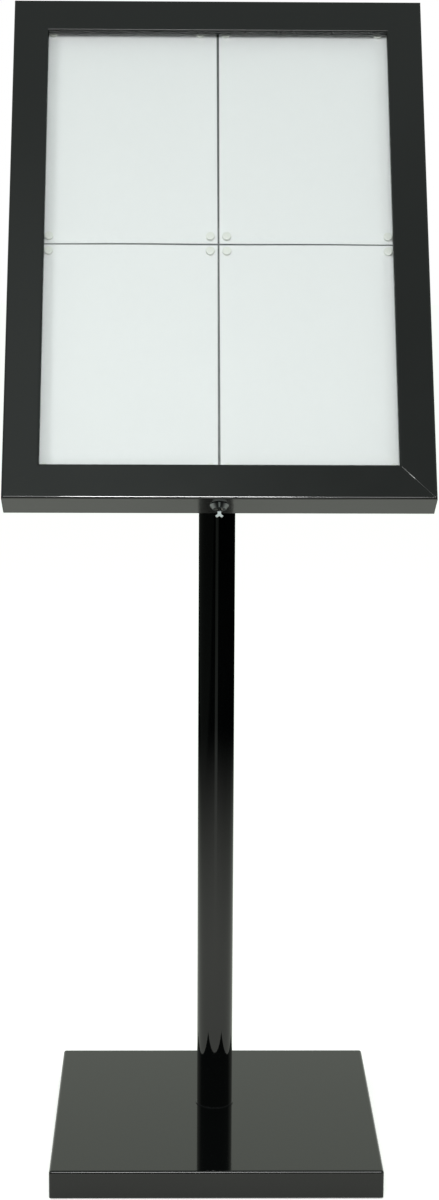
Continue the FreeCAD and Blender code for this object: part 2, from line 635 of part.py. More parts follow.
# Cam lock in the door's lower skirt, drawn unlocked with the cam pointing to the back
LOCK = ("0", LOCK_BACK)
CAM_LOW = "barrel_long + cam_gap"
CAM_END = f"{BACK_FACE} - cam_room"
BORE = "plug_dia / 2 + pin_fit"
lock_body = piece("lock_body")
turn(lock_body, LOCK_BACK, [
    (BORE, "-bezel_proud"),
    ("bezel_face / 2", "-bezel_proud"),
    ("bezel_dia / 2", "-bezel_rim"),
    ("bezel_dia / 2", "0"),
    ("barrel_dia / 2", "0"),
    ("barrel_dia / 2", "barrel_long"),
    (BORE, "barrel_long"),
])
lock_nut = piece("lock_nut")
grow(lock_nut, "XY_Plane", "door_steel", "lock_nut_thick",
     loops=[hex_loop(LOCK, "barrel_dia + 2 * lock_nut_wall")],
     circles=[(LOCK, "barrel_dia + 2 * screw_fit")])

lock_plug = piece("lock_plug")
grow(lock_plug, "XY_Plane", "plug_sunk - bezel_proud", "bezel_proud - plug_sunk + barrel_long",
     circles=[(LOCK, "plug_dia")])
grow(lock_plug, "XY_Plane", "barrel_long", "cam_gap + cam_thick - screw_fit",
     loops=[box_loop("-plug_square / 2", f"{LOCK_BACK} - plug_square / 2", "plug_square / 2",
                     f"{LOCK_BACK} + plug_square / 2")])
cut(lock_plug, "XY_Plane", "plug_sunk - bezel_proud", "key_blade_long + screw_fit",
    loops=[box_loop("-key_blade / 2 - screw_fit", f"{LOCK_BACK} - key_slot / 2",
                    "key_blade / 2 + screw_fit", f"{LOCK_BACK} + key_slot / 2")])
cut(lock_plug, "XY_Plane", f"{CAM_LOW} + cam_thick - cam_screw_long - screw_fit",
    "cam_screw_long + cut_over", circles=[(LOCK, "cam_screw + 2 * screw_fit")])

lock_cam = piece("lock_cam")
grow(lock_cam, "XY_Plane", CAM_LOW, "cam_thick", circles=[(LOCK, "cam_hub")])
grow(lock_cam, "XY_Plane", CAM_LOW, "cam_thick",
     loops=[box_loop("-cam_wide / 2", LOCK_BACK, "cam_wide / 2", CAM_END)])
cut(lock_cam, "XY_Plane", f"{CAM_LOW} - cut_over", "cam_thick + 2 * cut_over",
    loops=[box_loop("-plug_square / 2 - screw_fit", f"{LOCK_BACK} - plug_square / 2 - screw_fit",
                    "plug_square / 2 + screw_fit", f"{LOCK_BACK} + plug_square / 2 + screw_fit")])
round_edges(lock_cam, "cam_wide / 3", *[{"X": f"{hand} * cam_wide / 2", "Y": CAM_END} for hand in (-1, 1)])

cam_screw = piece("lock_cam_screw")
grow(cam_screw, "XY_Plane", f"{CAM_LOW} + cam_thick", "cam_head_tall", circles=[(LOCK, "cam_head_dia")])
grow(cam_screw, "XY_Plane", f"{CAM_LOW} + cam_thick - cam_screw_long", "cam_screw_long",
     circles=[(LOCK, "cam_screw")])

PLUG_FACE = "plug_sunk - bezel_proud"
NECK_END = "-bezel_proud - key_neck_long"
key = piece("lock_key")
grow(key, "XZ_Plane", f"{LOCK_BACK} - key_thick / 2", "key_thick", loops=[[
    ("key_blade / 2", f"{PLUG_FACE} + key_blade_long - key_blade / 2"),
    ("0", f"{PLUG_FACE} + key_blade_long"),
    ("-key_blade / 2", f"{PLUG_FACE} + key_blade_long - key_blade / 2"),
    ("-key_blade / 2", PLUG_FACE),
    ("-key_neck / 2", PLUG_FACE),
    ("-key_neck / 2", NECK_END),
    ("-key_bow / 2", f"{NECK_END} - key_bow_tall + key_fork"),
    ("-key_bow / 2 + key_fork", f"{NECK_END} - key_bow_tall"),
    ("0", f"{NECK_END} - key_fork"),
    ("key_bow / 2 - key_fork", f"{NECK_END} - key_bow_tall"),
    ("key_bow / 2", f"{NECK_END} - key_bow_tall + key_fork"),
    ("key_neck / 2", NECK_END),
    ("key_neck / 2", PLUG_FACE),
    ("key_blade / 2", PLUG_FACE),
]])

# Strike: an angle beside the notch, in front of the locked cam
STRIKE_BACK = f"{LOCK_BACK} - cam_wide / 2 - strike_gap"
WALL_FLOOR = f"{WALL_IN} + case_steel"
strike = piece("lock_strike")
grow(strike, "YZ_Plane", NOTCH, "strike_wide", loops=[[
    (f"{STRIKE_BACK} - strike_steel", WALL_FLOOR),
    (f"{STRIKE_BACK} - strike_steel + strike_foot", WALL_FLOOR),
    (f"{STRIKE_BACK} - strike_steel + strike_foot", f"{WALL_FLOOR} + strike_steel"),
    (STRIKE_BACK, f"{WALL_FLOOR} + strike_steel"),
    (STRIKE_BACK, f"{WALL_FLOOR} + strike_tall"),
    (f"{STRIKE_BACK} - strike_steel", f"{WALL_FLOOR} + strike_tall"),
]])

# Case mount: a plate on the post's slanted end, bolted through the back panel to a backing plate
PLATE_CORNERS = plate_loop("mount_wide", "mount_tall", "seat_up")
mount_plate = piece("head_mount_plate")
grow(mount_plate, "XZ_Plane", "head_deep", "mount_thick", loops=[PLATE_CORNERS])
cut(mount_plate, "XZ_Plane", "head_deep - cut_over", "mount_thick + 2 * cut_over",
    circles=[(place, "bolt_dia + 2 * bolt_fit") for place in BOLTS])
round_edges(mount_plate, "mount_corner", *[{"X": x, "Z": z} for x, z in PLATE_CORNERS])

BACKING_CORNERS = plate_loop("mount_wide + 2 * backing_more", "mount_tall + 2 * backing_more", "seat_up")
backing = piece("head_backing_plate")
grow(backing, "XZ_Plane", f"{BACK_FACE} - backing_thick", "backing_thick", loops=[BACKING_CORNERS])
cut(backing, "XZ_Plane", f"{BACK_FACE} - backing_thick - cut_over", "backing_thick + 2 * cut_over",
    circles=[(place, "bolt_dia + 2 * bolt_fit") for place in BOLTS])
round_edges(backing, "mount_corner", *[{"X": x, "Z": z} for x, z in BACKING_CORNERS])

NUT_FRONT = f"{BACK_FACE} - backing_thick - bolt_nut_thick"
HEAD_SEAT = "head_deep + mount_thick + washer_thick"
weld_nuts = piece("head_weld_nuts")
grow(weld_nuts, "XZ_Plane", NUT_FRONT, "bolt_nut_thick",
     loops=[hex_loop(place, "bolt_flats") for place in BOLTS],
     circles=[(place, "bolt_dia + 2 * screw_fit") for place in BOLTS])
washers = piece("head_mount_washers")
grow(washers, "XZ_Plane", "head_deep + mount_thick", "washer_thick",
     circles=[(place, "washer_dia") for place in BOLTS]
     + [(place, "bolt_dia + 2 * bolt_fit") for place in BOLTS])
bolts = piece("head_mount_bolts")
grow(bolts, "XZ_Plane", f"{NUT_FRONT} - bolt_end", f"{HEAD_SEAT} - ({NUT_FRONT}) + bolt_end",
     circles=[(place, "bolt_dia") for place in BOLTS])
grow(bolts, "XZ_Plane", HEAD_SEAT, "bolt_head_tall",
     loops=[hex_loop(place, "bolt_flats") for place in BOLTS])

# Post: a tube with its upper end cut along the mount plate
POST = ("0", "post_back")
BASE_TOP = "foot_drop + base_tall"
POST_FOOT = f"{BASE_TOP} + ring_thick"
CUT_Z = "post_top - mount_thick / sin(head_tilt)"
CUT_LONG = "2 * post_dia / sin(head_tilt)"
SLOPE_Y = f"{CUT_LONG} * sin(head_tilt)"
SLOPE_Z = f"{CUT_LONG} * cos(head_tilt)"
FRONT_Y = f"{CUT_LONG} * cos(head_tilt)"
FRONT_Z = f"{CUT_LONG} * sin(head_tilt)"
post = piece("post_tube", on_head=False)
grow(post, "XY_Plane", POST_FOOT, f"post_top + post_dia / tan(head_tilt) - ({POST_FOOT})",
     circles=[(POST, "post_dia"), (POST, "post_dia - 2 * post_wall")])
cut(post, "YZ_Plane", "-post_dia", "2 * post_dia", loops=[[
    (f"post_back - {SLOPE_Y}", f"{CUT_Z} - {SLOPE_Z}"),
    (f"post_back + {SLOPE_Y}", f"{CUT_Z} + {SLOPE_Z}"),
    (f"post_back + {SLOPE_Y} - {FRONT_Y}", f"{CUT_Z} + {SLOPE_Z} + {FRONT_Z}"),
    (f"post_back - {SLOPE_Y} - {FRONT_Y}", f"{CUT_Z} - {SLOPE_Z} + {FRONT_Z}"),
]])

BOLT_HOLE = "clamp_dia + 2 * bolt_fit"
ring = piece("post_foot_ring", on_head=False)
grow(ring, "XY_Plane", BASE_TOP, "ring_thick",
     circles=[(POST, "post_dia + 2 * ring_edge"), (POST, BOLT_HOLE)])
foot_plug = piece("post_foot_plug", on_head=False)
grow(foot_plug, "XY_Plane", POST_FOOT, "plug_thick",
     circles=[(POST, "post_dia - 2 * post_wall - 2 * weld_fit"), (POST, "clamp_dia + 2 * screw_fit")])

WEIGHT_LOW = f"{BASE_TOP} - base_steel - weight_thick"
WASHER_LOW = f"{WEIGHT_LOW} - clamp_washer_thick"
clamp_washer = piece("post_clamp_washer", on_head=False)
grow(clamp_washer, "XY_Plane", WASHER_LOW, "clamp_washer_thick",
     circles=[(POST, "clamp_washer_dia"), (POST, BOLT_HOLE)])
clamp_bolt = piece("post_clamp_bolt", on_head=False)
grow(clamp_bolt, "XY_Plane", WASHER_LOW, f"{POST_FOOT} + plug_thick - clamp_end - ({WASHER_LOW})",
     circles=[(POST, "clamp_dia")])
grow(clamp_bolt, "XY_Plane", f"{WASHER_LOW} - clamp_head_tall", "clamp_head_tall",
     loops=[hex_loop(POST, "clamp_flats")])

# Base: a folded cover over a weight plate on rubber feet
HALF_WIDE = "base_wide / 2"
HALF_DEEP = "base_deep / 2"
cover = piece("base_cover", on_head=False)
COVER = box_loop(f"-{HALF_WIDE}", f"-{HALF_DEEP}", HALF_WIDE, HALF_DEEP)
grow(cover, "XY_Plane", "foot_drop", "base_tall", loops=[COVER])
round_edges(cover, "base_bend",
            *[{"X": x, "Y": y} for x, y in COVER],
            *[{"X": f"{hand} * {HALF_WIDE}", "Z": BASE_TOP} for hand in (-1, 1)],
            *[{"Y": f"{hand} * {HALF_DEEP}", "Z": BASE_TOP} for hand in (-1, 1)])
shell = cover.newObject("PartDesign::Thickness", "base_cover_shell")
solid_cover = shell.getPropertyByName("BaseFeature")
under = [f"Face{n}" for n, face in enumerate(solid_cover.Shape.Faces, 1)
         if face.BoundBox.ZMax < number("foot_drop") + TOUCH]
shell.Base = (solid_cover, under)
shell.setExpression("Value", bound("base_steel"))
shell.Reversed = True
doc.recompute()
cut(cover, "XY_Plane", f"{BASE_TOP} - base_steel - cut_over", "base_steel + 2 * cut_over",
    circles=[(POST, BOLT_HOLE)])

FEET = [(f"{x} * ({HALF_WIDE} - foot_inset)", f"{y} * ({HALF_DEEP} - foot_inset)")
        for x in (-1, 1) for y in (-1, 1)]
WEIGHT_X = f"{HALF_WIDE} - weight_gap"
WEIGHT_Y = f"{HALF_DEEP} - weight_gap"
weight = piece("base_weight_plate", on_head=False)
grow(weight, "XY_Plane", WEIGHT_LOW, "weight_thick",
     loops=[box_loop(f"-({WEIGHT_X})", f"-({WEIGHT_Y})", WEIGHT_X, WEIGHT_Y)])
cut(weight, "XY_Plane", f"{WEIGHT_LOW} - cut_over", "weight_thick + 2 * cut_over",
    circles=[(POST, BOLT_HOLE)] + [(place, "foot_screw + 2 * screw_fit") for place in FEET])

feet = piece("base_feet", on_head=False)
grow(feet, "XY_Plane", "0", WEIGHT_LOW, circles=[(place, "foot_dia") for place in FEET])
BOND_LOW = f"{WEIGHT_LOW} - foot_bond"
cut(feet, "XY_Plane", BOND_LOW, "foot_bond + cut_over",
    circles=[(place, "foot_screw + 2 * screw_fit") for place in FEET])
foot_screws = piece("base_foot_screws", on_head=False)
grow(foot_screws, "XY_Plane", BOND_LOW, "foot_bond + foot_screw_grip",
     circles=[(place, "foot_screw") for place in FEET])

# Nothing is written unless every feature and every solid is sound
doc.recompute()
for item in doc.Objects:
    if "Invalid" in item.State or "Error" in item.State:
        raise RuntimeError(f"{item.Label} did not build: {item.State}")
for body in pieces:
    if body.Shape.isNull() or not body.Shape.isValid() or not body.Shape.Solids:
        raise RuntimeError(f"{body.Label} has no sound solid")

os.makedirs("parts", exist_ok=True)
for body in pieces:
    body.Shape.exportStep(f"parts/{body.Label}.step")
print(len(pieces), "sub-parts,", sum(len(body.Shape.Solids) for body in pieces), "solids")
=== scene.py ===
# %% [markdown]
# # A lockable menu display stand
# A shallow steel case for four A4 sheets leans on a round post over a square, weighted base. The
# case has a mitred door frame with a clear window, hinged at its upper rear edge and locked in the
# middle of its lower one. The CAD model already gives every rigid piece its exact place, so this
# lesson loads it as a fixed frame, in metres. Blender's work is the finishes, the light, and the
# small pieces for which CAD has plain solids.

# %% Load the CAD model
import json
import math

import bmesh
import bpy
from mathutils import Matrix, Vector


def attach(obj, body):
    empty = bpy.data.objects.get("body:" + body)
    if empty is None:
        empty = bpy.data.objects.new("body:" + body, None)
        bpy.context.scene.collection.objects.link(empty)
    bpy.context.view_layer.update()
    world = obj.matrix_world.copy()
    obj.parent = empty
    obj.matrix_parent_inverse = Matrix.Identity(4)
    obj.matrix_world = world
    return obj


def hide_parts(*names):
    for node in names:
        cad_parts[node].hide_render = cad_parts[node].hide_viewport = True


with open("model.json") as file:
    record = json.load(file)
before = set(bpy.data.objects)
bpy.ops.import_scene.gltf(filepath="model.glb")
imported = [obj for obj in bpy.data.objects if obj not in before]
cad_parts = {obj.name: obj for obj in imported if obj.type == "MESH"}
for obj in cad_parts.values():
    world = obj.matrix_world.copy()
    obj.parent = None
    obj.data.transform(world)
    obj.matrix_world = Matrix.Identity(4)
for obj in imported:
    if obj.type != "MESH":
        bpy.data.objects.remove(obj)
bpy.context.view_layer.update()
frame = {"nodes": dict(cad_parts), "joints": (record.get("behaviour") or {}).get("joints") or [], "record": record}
nodes = frame["nodes"]
scene = bpy.context.scene
print("CAD nodes loaded:", len(nodes))

# %% [markdown]
# ## The case's own directions
# The case leans back by 31 degrees, so sizes on it are easiest to think of in its own directions:
# across, back from the front face, and up the slope. The lock's axis runs straight down the slope
# and lies 20 mm behind the front face, so the joint in the record gives these directions with
# nothing measured twice.

# %% Directions and points on the case
LOCK_BEHIND_FACE = 20.0
lock_joint = next(joint for joint in frame["joints"] if joint["name"] == "lock_turn")
ACROSS = Vector((1, 0, 0))
UP_CASE = -Vector(lock_joint["axis"])
INTO_CASE = UP_CASE.cross(ACROSS)
case_foot = Vector(lock_joint["pos_m"]) - INTO_CASE * LOCK_BEHIND_FACE / 1000


def on_case(across, behind, up):
    """A point of the case in metres, from millimetres across, behind the front face and up the slope."""
    return case_foot + (ACROSS * across + INTO_CASE * behind + UP_CASE * up) / 1000


def case_sizes(point):
    """The reverse: millimetres across, behind the front face and up the slope."""
    way = (point - case_foot) * 1000
    return Vector((way.dot(ACROSS), way.dot(INTO_CASE), way.dot(UP_CASE)))


print("foot of the case, m:", [round(v, 4) for v in case_foot])

# %% Separate solids of a CAD node
SAME_POINT = 1e-6


def solids_of(node):
    """The lowest and highest case sizes of each separate solid of a CAD node, in a fixed order."""
    merged = bmesh.new()
    merged.from_mesh(nodes[node].data)
    bmesh.ops.remove_doubles(merged, verts=merged.verts, dist=SAME_POINT)
    left, found = set(merged.verts), []
    while left:
        front, group = [left.pop()], []
        while front:
            vert = front.pop()
            group.append(case_sizes(vert.co))
            near = {edge.other_vert(vert) for edge in vert.link_edges} & left
            left -= near
            front.extend(near)
        found.append([Vector(limit(p[i] for p in group) for i in range(3)) for limit in (min, max)])
    merged.free()
    return sorted(found, key=lambda ends: [round(v, 2) for v in ends[0]])


print("magnets in the CAD model:", len(solids_of("sheet_magnets")))

# %% [markdown]
# ## Camera
# The photograph was taken from a little above the case's middle with a long lens, almost square on.
# The focal length and the place were fitted to the edges of the case, window, post and base, so the
# same edges fall on the same pixels here. A portrait frame measures the lens against its height,
# hence the vertical sensor fit.

# %% Camera at the photograph's place
FOCAL_PIXELS, FRAME_TALL, SENSOR_MM = 2545.8, 1200, 36
PITCH, YAW, ROLL = (math.radians(angle) for angle in (10.927, 0.86, -0.279))
CAMERA_PLACE = (-0.0426, -3.0499, 1.2799)
forward = Vector((math.sin(YAW) * math.cos(PITCH), math.cos(YAW) * math.cos(PITCH), -math.sin(PITCH)))
level = Vector((math.cos(YAW), -math.sin(YAW), 0))
sunk = forward.cross(level)
right = level * math.cos(ROLL) + sunk * math.sin(ROLL)
below = sunk * math.cos(ROLL) - level * math.sin(ROLL)

lens = bpy.data.cameras.new("photo_camera")
lens.sensor_fit = "VERTICAL"
lens.sensor_width = lens.sensor_height = SENSOR_MM
lens.lens = SENSOR_MM * FOCAL_PIXELS / FRAME_TALL
camera = bpy.data.objects.new("photo_camera", lens)
facing = Matrix((right, -below, -forward)).transposed().to_4x4()
camera.matrix_world = Matrix.Translation(CAMERA_PLACE) @ facing
scene.collection.objects.link(camera)
scene.camera = camera
print("lens, mm:", round(lens.lens, 2))

# %% [markdown]
# ## One small helper for nodes
# Every finish, the world and every Geometry Nodes tree is a set of nodes and links. One function
# adds a node, sets it up and links it. A socket's value is a constant, which stays on the socket,
# or an output, which becomes a link. Where a whole node is given, its first output in use is
# linked. Colours are written as the sRGB hex values that one reads in a paint program.

# %% Helpers for nodes, colours and materials
def add(tree, kind, sockets=None, **settings):
    """Adds a node. A value of sockets is a constant, an output or a node to link, or a list of these."""
    made = tree.nodes.new(kind)
    for name, value in settings.items():
        setattr(made, name, value)
    for socket, value in (sockets or {}).items():
        for source in value if isinstance(value, list) else [value]:
            if isinstance(source, bpy.types.Node):
                source = next(output for output in source.outputs if output.enabled)
            if isinstance(source, bpy.types.NodeSocket):
                tree.links.new(source, made.inputs[socket])
            else:
                made.inputs[socket].default_value = source
    return made


def linear(code):
    """The linear colour that Blender calculates with, from an sRGB hex value."""
    shares = [int(code[i:i + 2], 16) / 255 for i in (1, 3, 5)]
    return (*((s / 12.92 if s <= 0.04045 else ((s + 0.055) / 1.055) ** 2.4) for s in shares), 1.0)


def start_finish(name):
    """A new material and its empty tree."""
    material = bpy.data.materials.new(name)
    material.use_nodes = True
    material.node_tree.nodes.clear()
    return material, material.node_tree


def close_finish(tree, shader):
    """Ends a material's tree in its output."""
    add(tree, "ShaderNodeOutputMaterial", {"Surface": shader})


print("paper white in linear light:", [round(v, 3) for v in linear("#ecefef")])

# %% [markdown]
# ## Studio
# Gloss black lacquer shows hardly any colour of its own: what one sees is the room. The
# photograph's post is black at the top and grey at the foot, so the room was dark at the level of
# the camera, with a pale sweep of paper under the stand and a white tent above and behind it. The
# black parts look faintly green, so the tent's cloth has that hue, a little yellower behind the
# stand. The cloth is lit unevenly: the lower left of the door mirrors a lighter patch of it, the
# lower right a darker one. The world is built that way by direction.

# %% Tent above and behind, dark room in front
world = bpy.data.worlds.new("tent_and_dark_room")
scene.world = world
world.use_nodes = True
air = world.node_tree
air.nodes.clear()

TENT, TENT_HUE, BACK_HUE, DARK_ROOM = 0.63, "#f4fff9", "#f4fcef", 0.02
TENT_FROM, TENT_FULL, BACK_FROM, BACK_FULL = 0.2, 0.6, -0.1, 0.5
PATCHES = [((-0.06, -0.585, 0.81), 1.4), ((0.09, -0.565, 0.82), 0.8)]
PATCH_EDGE = math.cos(math.radians(7))
toward = add(air, "ShaderNodeTexCoord").outputs["Generated"]
direction = add(air, "ShaderNodeSeparateXYZ", {0: toward}).outputs
above = add(air, "ShaderNodeMapRange",
            {"Value": direction["Z"], "From Min": TENT_FROM, "From Max": TENT_FULL},
            interpolation_type="SMOOTHSTEP")
behind = add(air, "ShaderNodeMapRange",
             {"Value": direction["Y"], "From Min": BACK_FROM, "From Max": BACK_FULL},
             interpolation_type="SMOOTHSTEP")
lit = add(air, "ShaderNodeMath", {0: above, 1: behind}, operation="MAXIMUM")
room = add(air, "ShaderNodeMapRange", {"Value": lit, "To Min": DARK_ROOM, "To Max": TENT})
for heading, share in PATCHES:
    near = add(air, "ShaderNodeVectorMath", {0: toward, 1: heading}, operation="DOT_PRODUCT")
    patch = add(air, "ShaderNodeMapRange", {"Value": near, "From Min": PATCH_EDGE, "From Max": 1.0,
                                            "To Min": 1.0, "To Max": share})
    room = add(air, "ShaderNodeMath", {0: room, 1: patch}, operation="MULTIPLY")
print("tent and room strengths:", TENT, DARK_ROOM)

# %% [markdown]
# ## The white that the camera sees
# The photograph's ground is plain white. So camera rays, and the same rays after they pass the
# window, see white instead of the tent. Mirror rays that run level towards the backdrop see it too.
# Light that left a sheet of paper and goes out through the window is a transmitted ray as well, so
# rays that were spread are left out.

# %% What camera and mirrors see of the world
BACKDROP_FULL, BACKDROP_END = 0.05, 0.25


def seen_by_camera(tree):
    """Whether a ray comes from the camera, straight or through the window, and the kinds of ray."""
    kinds = add(tree, "ShaderNodeLightPath").outputs
    unspread = add(tree, "ShaderNodeMath", {0: kinds["Diffuse Depth"], 1: 0.5}, operation="LESS_THAN")
    through = add(tree, "ShaderNodeMath", {0: kinds["Is Transmission Ray"], 1: unspread},
                  operation="MULTIPLY")
    return add(tree, "ShaderNodeMath", {0: kinds["Is Camera Ray"], 1: through}, operation="MAXIMUM"), kinds


seen, ray = seen_by_camera(air)
levelled = add(air, "ShaderNodeMapRange", {"Value": direction["Z"], "From Min": BACKDROP_FULL,
                                           "From Max": BACKDROP_END, "To Min": 1.0, "To Max": 0.0},
               interpolation_type="SMOOTHSTEP")
backdrop = add(air, "ShaderNodeMath", {0: behind, 1: levelled}, operation="MULTIPLY")
mirrored = add(air, "ShaderNodeMath", {0: ray["Is Glossy Ray"], 1: backdrop}, operation="MULTIPLY")
white = add(air, "ShaderNodeMath", {0: seen, 1: mirrored}, operation="MAXIMUM")
strength = add(air, "ShaderNodeMix", {0: white, 2: room, 3: 1.0}, data_type="FLOAT")
dyed = add(air, "ShaderNodeMix", {0: behind, 6: linear(TENT_HUE), 7: linear(BACK_HUE)}, data_type="RGBA")
hue = add(air, "ShaderNodeMix", {0: white, 6: dyed, 7: linear("#ffffff")}, data_type="RGBA")
sky = add(air, "ShaderNodeBackground", {"Color": hue, "Strength": strength})
add(air, "ShaderNodeOutputWorld", {"Surface": sky})
print("nodes in the world:", len(air.nodes))

# %% [markdown]
# ## Floor
# The sweep of paper is pale near the stand. Between 0.6 and 2.2 m from it the floor's colour darkens:
# painted shade of the dark room. The post mirrors that as its slow change from grey to black. The
# floor is painted paler along an aisle straight in front of the stand and far to the left, as painted
# light, and the post mirrors both as faint upright streaks. The camera sees one plain white floor with the
# little glow for camera rays lifts the floor to white, and the shadow stays. Mirrors see a weaker
# glow, strongest in front of the stand, which is painted light.

# %% Tones of the sweep, with painted shade and light
# Painted shade and light: far from the stand the floor's colour turns dark, paler in the aisle and to the left.
PALE, WARM, AISLE, LEFT_ROOM, RIGHT_ROOM = "#e8eae6", "#e8e9e3", "#989b98", "#4b4d4b", "#101111"
SWEEP_FULL, SWEEP_END, LEFT_FROM, LEFT_FULL = 0.6, 2.2, -1.5, -2.0
AISLE_FROM, AISLE_FULL = math.radians(169), math.radians(173)
sweep, ground = start_finish("matt_white_paper_sweep")
place = add(ground, "ShaderNodeTexCoord").outputs["Object"]
spot = add(ground, "ShaderNodeSeparateXYZ", {0: place}).outputs
away = add(ground, "ShaderNodeVectorMath", {0: place}, operation="LENGTH")
reach = add(ground, "ShaderNodeMapRange", {"Value": away, "From Min": SWEEP_FULL, "From Max": SWEEP_END,
                                           "To Min": 1.0, "To Max": 0.0}, interpolation_type="SMOOTHSTEP")
to_left = add(ground, "ShaderNodeMapRange",
              {"Value": spot["X"], "From Min": LEFT_FROM, "From Max": LEFT_FULL},
              interpolation_type="SMOOTHSTEP")
painted_room_shade = add(ground, "ShaderNodeMix", {0: to_left, 6: linear(RIGHT_ROOM), 7: linear(LEFT_ROOM)},
                data_type="RGBA")
aside = add(ground, "ShaderNodeMath", {0: spot["X"]}, operation="ABSOLUTE")
bearing = add(ground, "ShaderNodeMath", {0: aside, 1: spot["Y"]}, operation="ARCTAN2")
in_aisle = add(ground, "ShaderNodeMapRange",
               {"Value": bearing, "From Min": AISLE_FROM, "From Max": AISLE_FULL},
               interpolation_type="SMOOTHSTEP")
painted_far_floor = add(ground, "ShaderNodeMix", {0: in_aisle, 6: painted_room_shade, 7: linear(AISLE)}, data_type="RGBA")
floor_tone_with_painted_shade = add(ground, "ShaderNodeMix", {0: reach, 6: painted_far_floor, 7: linear(WARM)}, data_type="RGBA")
bounced = add(ground, "ShaderNodeBsdfDiffuse", {"Color": floor_tone_with_painted_shade})
print("sweep fades out at, m:", SWEEP_END)

# %% What camera and mirrors see of the floor
CAMERA_GLOW = 0.56
MIRROR_HUE, GLOW_BACK, GLOW_FRONT, BACK_AT, FRONT_AT = "#fffdf9", 0.15, 0.32, 0.5, -0.3
watched, ray = seen_by_camera(ground)
front_share = add(ground, "ShaderNodeMapRange",
                  {"Value": spot["Y"], "From Min": BACK_AT, "From Max": FRONT_AT, "To Min": GLOW_BACK,
                   "To Max": GLOW_FRONT})
# Painted light: mirrors see the floor glow, most near the stand and in front of it.
painted_sweep_glow = add(ground, "ShaderNodeMath", {0: front_share, 1: reach}, operation="MULTIPLY")
painted_mirror_glow = add(ground, "ShaderNodeMath", {0: painted_sweep_glow, 1: ray["Is Glossy Ray"]}, operation="MULTIPLY")
painted_floor_glow = add(ground, "ShaderNodeEmission", {"Color": linear(MIRROR_HUE), "Strength": painted_mirror_glow})
in_mirrors = add(ground, "ShaderNodeAddShader", {0: bounced, 1: painted_floor_glow})
matt = add(ground, "ShaderNodeBsdfDiffuse", {"Color": linear(PALE)})
glow = add(ground, "ShaderNodeEmission", {"Color": linear("#ffffff"), "Strength": CAMERA_GLOW})
plain = add(ground, "ShaderNodeAddShader", {0: matt, 1: glow})
close_finish(ground, add(ground, "ShaderNodeMixShader", {0: watched, 1: in_mirrors, 2: plain}))
print("nodes in the sweep's finish:", len(ground.nodes))

# %% Floor
FLOOR_REACH = 14.0
FLOOR_CORNERS = ((-1, -1), (1, -1), (1, 1), (-1, 1))
floor_mesh = bpy.data.meshes.new("floor")
floor_mesh.from_pydata([(x * FLOOR_REACH, y * FLOOR_REACH, 0) for x, y in FLOOR_CORNERS], [],
                       [(0, 1, 2, 3)])
floor_mesh.materials.append(sweep)
floor = bpy.data.objects.new("floor", floor_mesh)
scene.collection.objects.link(floor)
print("floor reach, m:", FLOOR_REACH)

# %% [markdown]
# ## Lamps
# The main softbox stands above the camera. A weaker one at the left and a faint one at the right
# throw the shade bands that the photograph shows along the window's sides. None stands where a flat
# black face would mirror it towards the camera. A low fill, hidden from mirrors, softens the shade
# under the lip and the magnets. The bare tube behind the main softbox is seen only by mirrors, in a
# narrow beam on the door's lower edge, whose bend shows it as a bright line. The line along the
# base's front edge is the main softbox.

# %% Softboxes
def softbox(name, place, aim, wide, tall, watts, spread=180):
    """A rectangular lamp that shines from place towards aim and doesn't show itself to the camera."""
    light = bpy.data.lights.new(name, "AREA")
    light.shape = "RECTANGLE"
    light.size, light.size_y, light.energy = wide, tall, watts
    light.spread = math.radians(spread)
    lamp = bpy.data.objects.new(name, light)
    lamp.location = place
    lamp.rotation_euler = (Vector(aim) - Vector(place)).to_track_quat("-Z", "Y").to_euler()
    lamp.visible_camera = False
    scene.collection.objects.link(lamp)
    return lamp


SHEETS_AT, DOOR_FOOT = (0, -0.1, 1.0), on_case(0, 0, 0)
softbox("main_softbox", (0, -2.3, 2.4), SHEETS_AT, wide=1.0, tall=0.9, watts=25)
softbox("left_softbox", (-1.8, -1.95, 2.25), SHEETS_AT, wide=0.8, tall=0.8, watts=18)
softbox("right_softbox", (1.8, -1.95, 2.25), SHEETS_AT, wide=0.8, tall=0.8, watts=6)
fill = softbox("low_fill", (0.1, -2.3, 0.75), SHEETS_AT, wide=1.2, tall=0.8, watts=8)
fill.visible_glossy = False
tube = softbox("bare_tube", (-0.05, -2.35, 2.43), DOOR_FOOT, wide=0.51, tall=0.3, watts=1.15, spread=24)
tube.visible_diffuse = False

# %% [markdown]
# ## Gloss black lacquer
# The stand is steel, sprayed black and stoved. A stoved lacquer dries with orange peel: shallow
# dimples a few millimetres wide that make reflections waver. The post and base are smoother than
# the folded door frame, which shows fine mottling in the photograph. On the lip above the window
# the coat is thin: it dries almost without dimples and shines less. Polishing and handling leave
# soft patches that shine a little less too. One function makes all three lacquers from the size and
# depth of the dimples and the gloss.

# %% Lacquer
LACQUER_DEEP, LACQUER_PALE = "#010202", "#040505"
PATCH_MM, PATCH_FROM, PATCH_FULL = 70, 0.35, 0.7
LIP_EDGE = UP_CASE.dot(on_case(0, 0, solids_of("door_top_rail")[0][0].z))
LIP_THIN, LIP_END, LIP_SMOOTHER = LIP_EDGE + 0.001, LIP_EDGE + 0.003, 0.9


